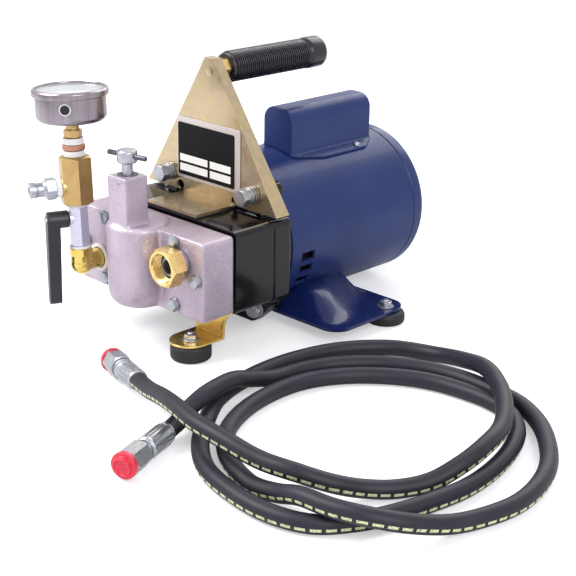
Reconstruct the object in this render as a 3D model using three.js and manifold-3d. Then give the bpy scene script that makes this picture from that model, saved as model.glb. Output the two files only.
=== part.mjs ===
// Electric hydrostatic test pump: twin plunger head, motor, gauge stack, carrying handle and pressure hose.
// Millimetres, +Z up, +Y from the pump head towards the motor, +X to the pump's right.
// The floor is Z = 0, X = 0 is the shaft's vertical plane and Y = 0 is the middle of the pump's length.
import * as THREE from 'three';
import { mergeVertices } from 'three/addons/utils/BufferGeometryUtils.js';
import Module from 'manifold-3d';

const wasm = await Module();
wasm.setup();

// Sizes that the whole pump shares
const axisHeight = 76;
const seat = 0.3;
const running = 0.5;
const overrun = 2;
const headFaceY = -121.3;

// Pump head casting
const headHalf = 80;
const headDepth = 33;
const headBottom = 40.3;
const headTop = 108.8;
const headCorner = 4;
const lobeInset = 35.8;
const lobeX = headHalf - lobeInset;
const boltCircle = 27.5;
const bulgeRadius = 27;
const bulgeTop = 111.5;
const bulgeBottom = 38.5;
const bulgeRound = 13;
const bulgeBevel = 3;
const bulgeAngles = [90, 60, 30, 0];
const towerHalf = 11.8;
const towerFront = -22.5;
const towerBack = 1;
const towerTop = 152.5;
const towerBore = 6.2;
const towerBoreDepth = 46;
const passageRadius = 3;
const passageDepth = 9.5;
const cylinderFloor = 9;

// Plungers, rocker and seal plate
const plungerRadius = 10;
const plungerFront = 15;
const plungerTail = 41;
const plungerNeck = 6;
const plungerNeckLength = 5;
const plateThickness = 2;
const lipOuter = 14.5;
const lipDepth = 6;
const rockerPivotY = 49;
const rockerHalfHeight = 8;
const rockerBarFront = 42.5;
const rockerBarDepth = 13;
const rockerReach = 6;
const forkDepth = 15;
const forkWall = 6;
const trunnionRadius = 4;
const eccentricRadius = 10;
const eccentricThrow = 2;
const eccentricLength = 12;

// Crankcase and adapter
const caseHalf = headHalf;
const caseBottom = 39;
const caseTop = 111;
const caseBack = 79;
const caseWall = 6;
const caseCorner = 5;
const adapterBack = 100;
const adapterBottom = 37;
const hubBore = 12;

// Motor
const shellRadius = 70.7;
const shellWall = 2.5;
const shellFront = 112;
const shellBack = 275.4;
const bellDome = 20;
const bellWall = 4;
const slotLength = 16;
const slotHeight = 8;
const slotY = 132;
const slotCount = 4;
const slotPitch = 10.4;
const slotStart = -8;
const shaftRadius = 8;
const earStandoff = 2.6;
const earCircle = shellRadius + earStandoff;
const earPlace = earCircle * Math.SQRT1_2;
const earRadius = 7;
const lobeMargin = 7.7;
const lobeShoulder = 14.2;
const lobeFoot = 15.2;
const lowerLobeRadius = earCircle + lobeMargin;
const lowerLobeHalf = earPlace + lobeShoulder;
const lowerLobeBottom = axisHeight - earPlace - lobeFoot;
const lowerLobeFront = 88;
const bearingOuter = 18;
const bearingWidth = 11;
const rearBearingWidth = 9.5;
const statorDepth = 24.7;
const statorInner = shellRadius - statorDepth;
const statorBoreGap = 1;
const statorFront = 150;
const statorBack = 235;
const windingInset = 10.7;
const windingRadius = shellRadius - windingInset;
const windingReach = 14;
const fanInset = 12.7;
const fanRadius = shellRadius - fanInset;
const fanDiscRadius = statorInner;
const fanY = 254;
const fanHub = 14;
const fanLength = 12;
const fanPlate = 2;
const bladeCount = 6;

// Motor base wings and feet
const wingOuter = 120.6;
const wingFront = 116;
const wingBack = 212;
const wingBottom = 10.6;
const wingSheet = 3;
const wingCorner = 17;
const wingBulge = 6;
const humpInset = 23.6;
const humpSlope = 29;
const humpOuter = wingOuter - humpInset;
const humpInner = 42;
const humpTop = 35;
const humpTopOuter = humpOuter - humpSlope;
const humpTopInset = 16;
const footRadius = 17.5;
const footLip = 1.5;
const rearFootInset = 11.3;
const rearFootX = wingOuter - rearFootInset;
const rearFootY = 193;
const frontFootX = 51;
const frontFootY = 11.3;
const frontFootHeight = 14;
const studRadius = 3;
const studHeight = 9;

// Front foot bracket
const bracketSheet = 2;
const bracketInner = 32;
const bracketOuter = 67;
const bracketPlateTop = 54;

// Handle bracket, nameplate and handle
const handlePlateY = 79.3;
const handleSheet = 2.5;
const handleBottom = 114.2;
const handleApex = 236.2;
const handleHalf = 82;
const handleApexHalf = 5.4;
const handleFlange = 13;
const handleFlangeTop = 6;
const tabHalf = 31;
const tabFront = 36;
const tabZ = 112.2;
const plateLeft = -39;
const plateRight = 32;
const plateBottom = 121;
const plateTop = 178;
const plateDepth = 1.2;
const handleDrop = 10.2;
const handleZ = handleApex - handleDrop;
const studShank = 5;
const handleNutHalf = 8;
const handleNutGap = 0.8;
const gripRadius = 13.3;
const gripEndRadius = 14.5;
const gripFront = 98;
const gripEndStart = 193;
const gripBack = 213.8;
const gripRound = 4;

// Fasteners
const boltRadius = 3;
const boltHeadHalf = 5;
const boltHeadHeight = 4.5;
const bracketBoltRadius = 4.5;
const bracketBoltHeadHalf = 7;
const bracketBoltHeadHeight = 6;
const washerRadius = 8;
const washerCount = 4;
const washerThickness = 2;
const washerStep = 1;

// Capacitor cover
const coverX = 9;
const coverHalf = 17.5;
const coverRise = 37.8;
const coverTop = axisHeight + shellRadius + coverRise;
const coverCorner = 12;
const coverFront = 153;
const coverBack = 258;
const coverWall = 2;
const skirtHalf = 31;
const skirtRise = 4.3;
const skirtTop = axisHeight + shellRadius + skirtRise;
const capacitorRadius = 13;
const capacitorMargin = 8;

// Relief valve
const reliefY = -10.7;
const stemRadius = 4.7;
const knobRadius = 8.5;
const knobBottom = 162.5;
const knobTop = 173.5;
const knobBevel = 1.5;
const pinRadius = 2.2;
const pinLength = 40;
const pinTurn = 10;
const pinZ = 168.5;
const stemBottom = 136;
const springWire = 0.9;
const springRadius = 4.2;
const springBottom = 108;
const springTop = 131;
const springCurls = 7;
const springGuide = 2.8;

// Inlet swivel
const inletX = 51;
const inletZ = 86;
const inletFlangeRadius = 12.5;
const inletNutRadius = 16.5;
const inletNutBack = -5.3;
const inletNutFront = -20;
const inletBore = 6;
const inletNutBore = 12.5;
const inletShankRadius = 9;
const inletNeckRadius = 7;
const inletRingRadius = 9.3;
const inletRingWidth = 4;
const inletShoulder = 3;

// Gauge stack, measured from the outlet port along the leaning pipe
const portX = -54;
const portZ = 65;
const stackY = -20;
const stackLean = 2.7;
const portTurn = 25;
const pipeBore = 3;
const threadRadius = 6;
const threadLength = 6;
const elbowRadius = 9;
const elbowTop = 15;
const elbowCollar = 10.5;
const elbowCollarHeight = 7;
const valveHalf = 8;
const valveTop = 50;
const ballRadius = 4;
const ballHeight = 39.5;
const valveStemRadius = 3;
const leverStart = 8.6;
const leverHubRadius = 7.5;
const leverHubLength = 18.6;
const leverLength = 74;
const leverRootHalf = 6;
const leverTipHalf = 4;
const leverThick = 10;
const leverSplay = 2;
const teeHalf = 12.5;
const teeTop = 93;
const teeBranch = 67;
const branchRadius = 8;
const branchLength = 20;
const fittingHexHalf = 8.5;
const fittingHexLength = 9;
const fittingFlareRadius = 6.8;
const fittingLength = 23;
const bushingTop = 109;
const bushingRadius = 7.5;
const bushingCollar = 9.5;
const bushingCollarShare = 0.4;
const gaugeSocketHalf = 6.8;
const gaugeSocketTop = 116;
const gaugeStem = 5.5;
const gaugeBottom = 123;
const gaugeRadius = 29.5;
const gaugeWall = 1.5;
const gaugeDepth = 25;
const bezelRadius = 32;
const bezelHeight = 6;
const bezelLip = 3;
const lensThickness = 1.5;
const dialThickness = 1;
const dialDrop = 6;
const needleLength = 22;
const needleTail = 7;
const needleHalf = 1;
const needleRootHalf = 1.6;
const needleRest = 135;
const needleThickness = 0.8;
const needleHub = 2.5;

// Pressure hose with its end fittings and dust caps
const hoseRadius = 6.8;
const hoseSteps = 80;
const hoseSides = 10;
const hoseSamples = 8;
const ferruleRadius = 8.8;
const ferruleLength = 34;
const ferruleNeck = 3;
const noseRadius = 7;
const hoseNutHalf = 9;
const hoseNutLength = 20;
const capPlug = 8;
const capRadius = 9.6;
const capRim = 3;
const capDome = 7.5;
const capLength = 8;

// Materials, one maker for each finish so that every mesh has its own
const finish = (color, roughness, metalness) => () => new THREE.MeshStandardMaterial({ color, roughness, metalness });
const castAluminium = finish(0xb9b0c0, 0.55, 0.6);
const blackPaint = finish(0x17161a, 0.25, 0.2);
const navyPaint = finish(0x34426f, 0.35, 0.1);
const bluePaint = finish(0x232c66, 0.35, 0.1);
const steel = finish(0xb8b8bc, 0.35, 0.9);
const zinc = finish(0xd6d8dc, 0.3, 0.9);
const yellowZinc = finish(0xc2a766, 0.35, 0.7);
const brass = finish(0xc49a4a, 0.3, 0.9);
const copper = finish(0xa85f32, 0.4, 0.8);
const rubber = finish(0x1b1a1e, 0.8, 0);
const blackPlastic = finish(0x1e1d22, 0.45, 0);
const hoseRubber = finish(0x3c3a4c, 0.5, 0);
const redPlastic = finish(0xd8203c, 0.4, 0);
const whiteFace = finish(0xf2f2ee, 0.5, 0);
const clearGlass = finish(0xe8f0f2, 0.05, 0);
const labelFace = finish(0x2a2a30, 0.4, 0.2);

// Geometry helpers
const degrees = (angle) => angle * Math.PI / 180;
const path = (points) => new THREE.Shape(points.map(([x, y]) => new THREE.Vector2(x, y)));

function roundedRect(x0, y0, x1, y1, r) {
  const shape = new THREE.Shape();
  shape.moveTo(x0 + r, y0);
  shape.lineTo(x1 - r, y0);
  shape.absarc(x1 - r, y0 + r, r, -Math.PI / 2, 0);
  shape.lineTo(x1, y1 - r);
  shape.absarc(x1 - r, y1 - r, r, 0, Math.PI / 2);
  shape.lineTo(x0 + r, y1);
  shape.absarc(x0 + r, y1 - r, r, Math.PI / 2, Math.PI);
  shape.lineTo(x0, y0 + r);
  shape.absarc(x0 + r, y0 + r, r, Math.PI, 1.5 * Math.PI);
  return shape;
}

// Merges shared points, drops flat triangles and turns the faces outwards
function closed(geometry) {
  const bare = geometry.clone();
  bare.deleteAttribute('normal');
  bare.deleteAttribute('uv');
  const merged = mergeVertices(bare);
  const index = merged.index.array;
  const kept = [];
  for (let i = 0; i < index.length; i += 3) {
    const [a, b, c] = [index[i], index[i + 1], index[i + 2]];
    if (a !== b && b !== c && c !== a) kept.push(a, b, c);
  }
  const at = merged.attributes.position;
  const corners = [new THREE.Vector3(), new THREE.Vector3(), new THREE.Vector3()];
  let volume = 0;
  for (let i = 0; i < kept.length; i += 3) {
    corners.forEach((corner, k) => corner.fromBufferAttribute(at, kept[i + k]));
    volume += corners[0].dot(corners[1].clone().cross(corners[2]));
  }
  merged.setIndex(volume < 0 ? kept.reverse() : kept);
  return merged;
}

function toSolid(geometry) {
  const mesh = closed(geometry);
  const vertProperties = new Float32Array(mesh.attributes.position.array);
  const triVerts = new Uint32Array(mesh.index.array);
  return new wasm.Manifold(new wasm.Mesh({ numProp: 3, vertProperties, triVerts }));
}

function fromSolid(solid) {
  const mesh = solid.getMesh();
  const geometry = new THREE.BufferGeometry();
  geometry.setAttribute('position', new THREE.BufferAttribute(new Float32Array(mesh.vertProperties), 3));
  geometry.setIndex(new THREE.BufferAttribute(new Uint32Array(mesh.triVerts), 1));
  return geometry;
}

const cut = (base, ...tools) => fromSolid(tools.reduce((rest, tool) => rest.subtract(toSolid(tool)), toSolid(base)));
const join = (base, ...more) => fromSolid(more.reduce((sum, one) => sum.add(toSolid(one)), toSolid(base)));
const common = (base, other) => fromSolid(toSolid(base).intersect(toSolid(other)));

function box(x0, x1, y0, y1, z0, z1) {
  return new THREE.BoxGeometry(x1 - x0, y1 - y0, z1 - z0)
    .translate((x0 + x1) / 2, (y0 + y1) / 2, (z0 + z1) / 2);
}

// A profile of [radius, height] points turned about Z
function turned(profile, sides = 24) {
  const points = profile.map(([radius, height]) => new THREE.Vector2(radius, height));
  return new THREE.LatheGeometry(points, sides).rotateX(Math.PI / 2);
}

function rodZ(radius, z0, z1, x = 0, y = 0, sides = 12) {
  return turned([[0, z0], [radius, z0], [radius, z1], [0, z1]], sides).translate(x, y, 0);
}

// Turns a shape made along +Z so that its +Z lies along +Y
const alongY = (geometry) => geometry.rotateX(-Math.PI / 2);

function rodY(radius, y0, y1, x, z, sides = 12) {
  return alongY(turned([[0, y0], [radius, y0], [radius, y1], [0, y1]], sides)).translate(x, 0, z);
}

function rodX(radius, x0, x1, y, z, sides = 12) {
  return turned([[0, x0], [radius, x0], [radius, x1], [0, x1]], sides).rotateY(Math.PI / 2).translate(0, y, z);
}

function ring(inner, outer, start, end, sides = 24) {
  return turned([[inner, start], [outer, start], [outer, end], [inner, end], [inner, start]], sides);
}

function prism(shape, height, curveSegments = 4) {
  return new THREE.ExtrudeGeometry(shape, { depth: height, bevelEnabled: false, curveSegments });
}

// A plate whose outline is drawn in X and Z, from y0 to y1
function plateY(shape, y0, y1, curveSegments = 4) {
  return prism(shape, y1 - y0, curveSegments).rotateX(Math.PI / 2).translate(0, y1, 0);
}

function hexagon(halfFlats) {
  const corner = halfFlats / Math.cos(Math.PI / 6);
  const points = [0, 1, 2, 3, 4, 5].map((k) => k * Math.PI / 3);
  return path(points.map((angle) => [corner * Math.cos(angle), corner * Math.sin(angle)]));
}

const hexZ = (halfFlats, z0, z1) => prism(hexagon(halfFlats), z1 - z0).translate(0, 0, z0);
const hexY = (halfFlats, y0, y1, x, z) => plateY(hexagon(halfFlats), y0, y1).translate(x, 0, z);

// A block with a rectangular foot and a smaller rectangular top, each given as [x0, x1, y0, y1]
function frustum(foot, top, z0, z1) {
  const geometry = new THREE.BoxGeometry(1, 1, 1);
  const at = geometry.attributes.position;
  for (let i = 0; i < at.count; i += 1) {
    const rect = at.getZ(i) > 0 ? top : foot;
    const x = at.getX(i) > 0 ? rect[1] : rect[0];
    const y = at.getY(i) > 0 ? rect[3] : rect[2];
    at.setXYZ(i, x, y, at.getZ(i) > 0 ? z1 : z0);
  }
  return geometry;
}

const pump = new THREE.Group();
const body = new THREE.Group();
body.position.set(0, headFaceY, 0);
pump.add(body);

function part(name, geometry, material, parent = body) {
  const mesh = new THREE.Mesh(closed(geometry), material());
  mesh.name = name;
  parent.add(mesh);
  return mesh;
}

const sides = [['left', -1], ['right', 1]];

// Pump head: block with two cylinder lobes, the valve chamber bulge and the relief tower
const inletPassageZ = inletZ;
const outletPassageZ = portZ;
const headBoltPlaces = sides.flatMap(([side, sign]) => [
  [`head_bolt_${side}_top`, sign * lobeX, axisHeight + boltCircle],
  [`head_bolt_${side}_outer`, sign * (lobeX + boltCircle), axisHeight],
  [`head_bolt_${side}_bottom`, sign * lobeX, axisHeight - boltCircle],
]);

function pumpHead() {
  const block = plateY(roundedRect(-headHalf, headBottom, headHalf, headTop, headCorner), 0, headDepth);
  const arc = bulgeAngles.map(degrees);
  const bulge = turned([
    [0, bulgeBottom],
    ...arc.map((angle) => [
      bulgeRadius - bulgeRound + bulgeRound * Math.cos(angle),
      bulgeBottom + bulgeRound - bulgeRound * Math.sin(angle),
    ]),
    [bulgeRadius, bulgeTop - bulgeBevel],
    [bulgeRadius - bulgeBevel, bulgeTop],
    [0, bulgeTop],
  ], 28);
  const tower = box(-towerHalf, towerHalf, towerFront, towerBack, bulgeTop - bulgeBevel, towerTop);
  const bolts = headBoltPlaces.map(([, x, z]) => rodY(boltRadius + seat, -overrun, headDepth + overrun, x, z, 8));
  const bores = sides.map(([, sign]) => (
    rodY(plungerRadius + running, cylinderFloor, headDepth + overrun, sign * lobeX, axisHeight, 20)));
  const counterbores = sides.map(([, sign]) => (
    rodY(lipOuter + seat, headDepth - lipDepth - seat, headDepth + overrun, sign * lobeX, axisHeight, 20)));
  return cut(
    join(block, bulge, tower),
    ...bolts,
    ...bores,
    ...counterbores,
    rodZ(towerBore, towerTop - towerBoreDepth, towerTop + overrun, 0, reliefY, 16),
    rodZ(passageRadius, outletPassageZ, towerTop, 0, reliefY, 8),
    rodY(passageRadius, reliefY, passageDepth, 0, outletPassageZ, 8),
    rodX(passageRadius, portX, lobeX, passageDepth, outletPassageZ, 8),
    rodX(passageRadius, -lobeX, inletX, passageDepth, inletPassageZ, 8),
    rodY(threadRadius + seat, -overrun, passageDepth, portX, portZ, 12),
    rodY(inletShankRadius + seat, -overrun, passageDepth, inletX, inletZ, 16),
  );
}
part('pump_head', pumpHead(), castAluminium);

for (const [name, x, z] of headBoltPlaces) {
  const head = hexY(boltHeadHalf, -boltHeadHeight - seat, -seat, x, z);
  const shank = rodY(boltRadius, -overrun, headDepth - seat, x, z, 8);
  part(name, join(head, shank), zinc);
}

// Seal plate between head and crankcase, with a lip round each plunger and a corner left for the foot bracket
const plateFront = headDepth + seat;
const plateBack = plateFront + plateThickness;
const bracketFace = headDepth + seat;

function bracketOutline(gap) {
  const shape = new THREE.Shape();
  const fold = frontFootHeight + bracketSheet;
  shape.moveTo(bracketInner - gap, frontFootHeight);
  shape.lineTo(bracketOuter, frontFootHeight);
  shape.lineTo(bracketOuter, fold + bracketSheet);
  shape.quadraticCurveTo(bracketOuter, headBottom - headCorner, caseHalf - bracketSheet, headBottom);
  shape.lineTo(caseHalf - bracketSheet, bracketPlateTop + gap);
  shape.lineTo(bracketInner - gap, bracketPlateTop + gap);
  return shape;
}

function sealPlate() {
  const inset = headCorner / 2;
  const sheet = plateY(roundedRect(
    -headHalf + inset, headBottom + inset, headHalf - inset, headTop - inset, headCorner), plateFront, plateBack);
  const lips = sides.map(([, sign]) => (
    rodY(lipOuter, headDepth - lipDepth, plateBack, sign * lobeX, axisHeight, 20)));
  const holes = sides.map(([, sign]) => (
    rodY(plungerRadius + seat, headDepth - lipDepth - overrun, plateBack + overrun, sign * lobeX, axisHeight, 20)));
  const corner = box(
    bracketInner - seat, caseHalf + overrun, plateFront - overrun, plateBack + overrun,
    headBottom - overrun, bracketPlateTop + seat);
  return cut(join(sheet, ...lips), ...holes, corner);
}
part('seal_plate', sealPlate(), rubber);

// Crankcase: a box open towards the head, closed at the back round the shaft
const caseFront = plateBack + seat;
const trunnionEnd = caseWall / 2;
const forkBack = rockerBarFront + rockerBarDepth + forkDepth;

function crankcase() {
  const outer = plateY(roundedRect(-caseHalf, caseBottom, caseHalf, caseTop, caseCorner), caseFront, caseBack);
  const inner = box(
    -caseHalf + caseWall, caseHalf - caseWall, caseFront - overrun, caseBack - caseWall,
    caseBottom + caseWall, caseTop - caseWall);
  return cut(
    outer,
    inner,
    rodY(eccentricRadius + eccentricThrow + running, caseBack - caseWall - overrun, caseBack + overrun, 0, axisHeight, 20),
    rodZ(trunnionRadius + seat, caseBottom + trunnionEnd, caseTop - trunnionEnd, 0, rockerPivotY, 12),
  );
}
part('crankcase', crankcase(), blackPaint);

// Rocker: a bar that pushes both plungers, on trunnions, with a fork round the shaft's eccentric
function rocker() {
  const reach = lobeX + rockerReach;
  const forkInner = eccentricRadius + eccentricThrow + running;
  const barBack = rockerBarFront + rockerBarDepth;
  const [low, high] = [axisHeight - rockerHalfHeight, axisHeight + rockerHalfHeight];
  const bar = box(-reach, reach, rockerBarFront, barBack, low, high);
  const arms = sides.map(([, sign]) => {
    const edges = [sign * forkInner, sign * (forkInner + forkWall)].sort((a, b) => a - b);
    return box(edges[0], edges[1], barBack - overrun, forkBack, low, high);
  });
  const pin = rodZ(
    trunnionRadius, caseBottom + trunnionEnd + seat, caseTop - trunnionEnd - seat, 0, rockerPivotY, 12);
  return join(bar, ...arms, pin);
}
part('rocker', rocker(), steel);

for (const [side, sign] of sides) {
  const nose = plungerTail - plungerNeckLength;
  const plunger = alongY(turned([
    [0, plungerFront], [plungerRadius, plungerFront], [plungerRadius, nose], [plungerNeck, nose],
    [plungerNeck, plungerTail - plungerNeckLength / 2], [plungerNeck / 2, plungerTail], [0, plungerTail],
  ], 20)).translate(sign * lobeX, 0, axisHeight);
  part(`plunger_${side}`, plunger, steel);
}

// Adapter between crankcase and motor, with ears for the upper bolts and a round lower lobe
const adapterFront = caseBack + seat;

function adapter() {
  const block = plateY(roundedRect(-caseHalf, adapterBottom, caseHalf, caseTop, caseCorner), adapterFront, adapterBack);
  const disc = rodY(lowerLobeRadius, lowerLobeFront, adapterBack, 0, axisHeight, 40);
  const lowerZone = box(
    -lowerLobeHalf, lowerLobeHalf, lowerLobeFront, adapterBack, lowerLobeBottom, adapterBottom + overrun);
  const ears = sides.flatMap(([, sign]) => {
    const x = sign * earPlace;
    const top = axisHeight + earPlace;
    const front = handlePlateY + handleSheet + seat;
    return [
      rodY(earRadius, front, adapterBack, x, top, 12),
      box(x - earRadius, x + earRadius, front, adapterBack, caseTop - caseWall, top),
    ];
  });
  const holes = sides.flatMap(([, sign]) => [1, -1].map((up) => rodY(
    bracketBoltRadius + seat, adapterFront - overrun, adapterBack + overrun,
    sign * earPlace, axisHeight + up * earPlace)));
  const plateSlot = box(
    -handleHalf, handleHalf, adapterFront - overrun, handlePlateY + handleSheet + seat,
    caseTop + seat, handleApex);
  return cut(
    join(block, common(disc, lowerZone), ...ears),
    plateSlot,
    ...holes,
    rodY(hubBore, adapterFront - overrun, adapterBack + overrun, 0, axisHeight, 16),
  );
}
part('adapter', adapter(), blackPaint);

// Motor end bells, shell, stator, rotor, shaft, bearings and fan
const bellFront = adapterBack + seat;
const bearingFrontY = bellFront + bellWall / 2;

function frontBell() {
  const cup = ring(bearingOuter + seat, shellRadius, bellFront, shellFront - seat, 32);
  const pocket = ring(bearingOuter + bellWall, shellRadius - bellWall, bellFront + bellWall, shellFront + overrun, 32);
  const lip = ring(hubBore, bearingOuter + bellWall, bellFront, bearingFrontY, 20);
  const ears = sides.flatMap(([, sign]) => [1, -1].map((up) => rodY(
    earRadius, bellFront, shellFront - seat, sign * earPlace, axisHeight + up * earPlace, 12)));
  const holes = sides.flatMap(([, sign]) => [1, -1].map((up) => rodY(
    bracketBoltRadius + seat, bellFront - overrun, shellFront - bellWall,
    sign * earPlace, axisHeight + up * earPlace)));
  const centred = (geometry) => alongY(geometry).translate(0, 0, axisHeight);
  const whole = join(cut(join(centred(cup), ...ears), centred(pocket)), centred(lip));
  const shellRoom = centred(ring(shellRadius - shellWall - seat, shellRadius + earRadius * 2, shellFront - seat / 2,
    shellFront + overrun, 32));
  return cut(whole, shellRoom, ...holes);
}
part('front_end_bell', frontBell(), blackPaint);

function motorShell() {
  const tube = alongY(ring(shellRadius - shellWall, shellRadius, shellFront, shellBack, 48)).translate(0, 0, axisHeight);
  const slots = sides.flatMap(([, sign]) => Array.from({ length: slotCount }, (_, k) => {
    const angle = slotStart - k * slotPitch;
    return box(
      shellRadius - shellWall - overrun, shellRadius + overrun, slotY - slotLength / 2, slotY + slotLength / 2,
      -slotHeight / 2, slotHeight / 2,
    ).rotateY(-degrees(sign > 0 ? angle : 180 - angle)).translate(0, 0, axisHeight);
  }));
  return cut(tube, ...slots);
}
part('motor_shell', motorShell(), navyPaint);

const rearBellFront = shellBack + seat;
const rearRim = 9;
const bellHubDepth = 13;
const domeAngles = [0, 25, 50, 70, 90];

function rearBell() {
  const rimEnd = rearBellFront + rearRim;
  const dome = (radius, depth) => domeAngles.map((turn) => {
    const angle = degrees(turn);
    return [radius * Math.cos(angle), rimEnd + depth * Math.sin(angle)];
  });
  const outer = dome(shellRadius, bellDome);
  const inner = dome(shellRadius - bellWall, bellDome - bellWall).slice(0, -1).reverse();
  const hub = bearingOuter + bellWall;
  const profile = [
    [shellRadius, rearBellFront],
    ...outer.slice(0, -1),
    [0, rimEnd + bellDome],
    [0, rimEnd + bellDome - bellWall],
    [bearingOuter + seat, rimEnd + bellDome - bellWall],
    [bearingOuter + seat, rimEnd],
    [hub, rimEnd],
    [hub, rimEnd + bellHubDepth],
    ...inner.filter(([radius]) => radius > hub + bellWall),
    [shellRadius - bellWall, rearBellFront],
    [shellRadius, rearBellFront],
  ];
  return alongY(turned(profile, 32)).translate(0, 0, axisHeight);
}
part('rear_end_bell', rearBell(), navyPaint);

const centredY = (geometry) => alongY(geometry).translate(0, 0, axisHeight);
const statorOuter = shellRadius - shellWall - seat;
part('stator', centredY(turned([
  [statorInner, statorFront - windingReach], [windingRadius, statorFront - windingReach],
  [windingRadius, statorFront], [statorOuter, statorFront], [statorOuter, statorBack], [windingRadius, statorBack],
  [windingRadius, statorBack + windingReach], [statorInner, statorBack + windingReach],
  [statorInner, statorFront - windingReach],
], 24)), copper);
part('rotor_core', centredY(ring(shaftRadius + seat, statorInner - statorBoreGap, statorFront, statorBack, 24)), steel);

const rearBearingY = rearBellFront + rearRim + running;
const shaftEnd = rearBearingY + bearingWidth - running;
const shaftFront = forkBack - eccentricLength;
const eccentric = rodY(eccentricRadius, shaftFront, shaftFront + eccentricLength, 0, axisHeight + eccentricThrow, 20);
const journal = rodY(shaftRadius, shaftFront + eccentricLength / 2, shaftEnd, 0, axisHeight, 16);
part('motor_shaft', join(journal, eccentric), steel);
part('front_bearing', centredY(ring(
  shaftRadius + seat, bearingOuter, bearingFrontY + seat, shellFront - seat, 20)), steel);
part('rear_bearing', centredY(ring(
  shaftRadius + seat, bearingOuter, rearBearingY, rearBearingY + rearBearingWidth, 20)), steel);

function coolingFan() {
  const hub = rodY(fanHub, fanY, fanY + fanLength, 0, axisHeight, 16);
  const disc = rodY(fanDiscRadius, fanY, fanY + fanPlate, 0, axisHeight, 24);
  const blades = Array.from({ length: bladeCount }, (_, k) => box(
    fanHub - fanPlate, fanRadius, fanY, fanY + fanLength, -fanPlate / 2, fanPlate / 2,
  ).rotateY(degrees(k * 360 / bladeCount)).translate(0, 0, axisHeight));
  return cut(join(hub, disc, ...blades), rodY(
    shaftRadius + seat, fanY - overrun, fanY + fanLength + overrun, 0, axisHeight, 16));
}
part('cooling_fan', coolingFan(), blackPlastic);

// Capacitor cover on top of the shell, with its skirt bent to the shell, and the capacitor under it
function coverBlock(half, top, corner, y0, y1) {
  return plateY(roundedRect(coverX - half, axisHeight, coverX + half, top, corner), y0, y1, 4);
}

function capacitorCover() {
  const skirt = plateY(roundedRect(
    coverX - skirtHalf, axisHeight, coverX + skirtHalf, skirtTop, coverWall), coverFront + coverWall, coverBack);
  const skin = rodY(shellRadius + seat + coverWall, coverFront + coverWall, coverBack, 0, axisHeight, 56);
  const outer = coverBlock(coverHalf, coverTop, coverCorner, coverFront, coverBack);
  const inner = coverBlock(
    coverHalf - coverWall, coverTop - coverWall, coverCorner - coverWall, coverFront + coverWall, coverBack - coverWall);
  const shell = rodY(shellRadius + seat, coverFront - overrun, coverBack + overrun, 0, axisHeight, 56);
  return cut(join(outer, common(skirt, skin)), inner, shell);
}
part('capacitor_cover', capacitorCover(), navyPaint);
const capacitorReach = shellRadius + seat + capacitorRadius;
const capacitorZ = axisHeight + Math.sqrt(capacitorReach ** 2 - coverX ** 2);
part('start_capacitor', rodY(
  capacitorRadius, coverFront + capacitorMargin, coverBack - capacitorMargin, coverX, capacitorZ, 16), blackPlastic);

// Base wings: pressed sheet plates with a hump up to the shell
function baseWing(sign) {
  const outline = new THREE.Shape();
  outline.moveTo(humpInner, wingFront);
  outline.lineTo(wingOuter, wingFront);
  outline.lineTo(wingOuter + wingBulge, wingBack - wingCorner);
  outline.quadraticCurveTo(wingOuter + wingBulge, wingBack, rearFootX, wingBack);
  outline.quadraticCurveTo(rearFootX - wingCorner, wingBack, rearFootX - wingCorner, wingBack - wingCorner);
  outline.lineTo(humpOuter - wingCorner, wingBack - wingCorner);
  outline.lineTo(humpInner, wingBack - wingCorner);
  const plate = prism(outline, wingSheet, 5).translate(0, 0, wingBottom);
  const humpBack = wingBack - wingCorner;
  const hump = frustum(
    [humpInner, humpOuter, wingFront, humpBack],
    [humpInner, humpTopOuter, wingFront + humpTopInset, humpBack - humpTopInset],
    wingBottom, humpTop + axisHeight - shellRadius);
  const hollow = frustum(
    [humpInner - overrun, humpOuter - wingSheet, wingFront + wingSheet, humpBack - wingSheet],
    [humpInner - overrun, humpTopOuter - wingSheet,
      wingFront + humpTopInset + wingSheet, humpBack - humpTopInset - wingSheet],
    wingBottom - seat, humpTop + axisHeight - shellRadius - wingSheet);
  const shell = rodY(shellRadius + seat, wingFront - overrun, wingBack + overrun, 0, axisHeight, 56);
  const hole = rodZ(studRadius + seat, wingBottom - overrun, wingBottom + wingSheet + overrun, rearFootX, rearFootY, 8);
  const wing = cut(join(plate, hump), hollow, shell, hole);
  return sign > 0 ? wing : wing.scale(-1, 1, 1);
}

function rubberFoot(height) {
  return turned([
    [0, 0], [footRadius - footLip, 0], [footRadius, footLip], [footRadius, height - footLip],
    [footRadius - footLip, height], [studRadius, height], [studRadius, height + studHeight],
    [0, height + studHeight],
  ], 20);
}

for (const [side, sign] of sides) {
  part(`motor_base_${side}`, baseWing(sign), bluePaint);
  part(`rear_foot_${side}`, rubberFoot(wingBottom - seat).translate(sign * rearFootX, rearFootY, 0), rubber);
}
part('front_foot', rubberFoot(frontFootHeight - seat).translate(frontFootX, frontFootY, 0), rubber);

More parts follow.
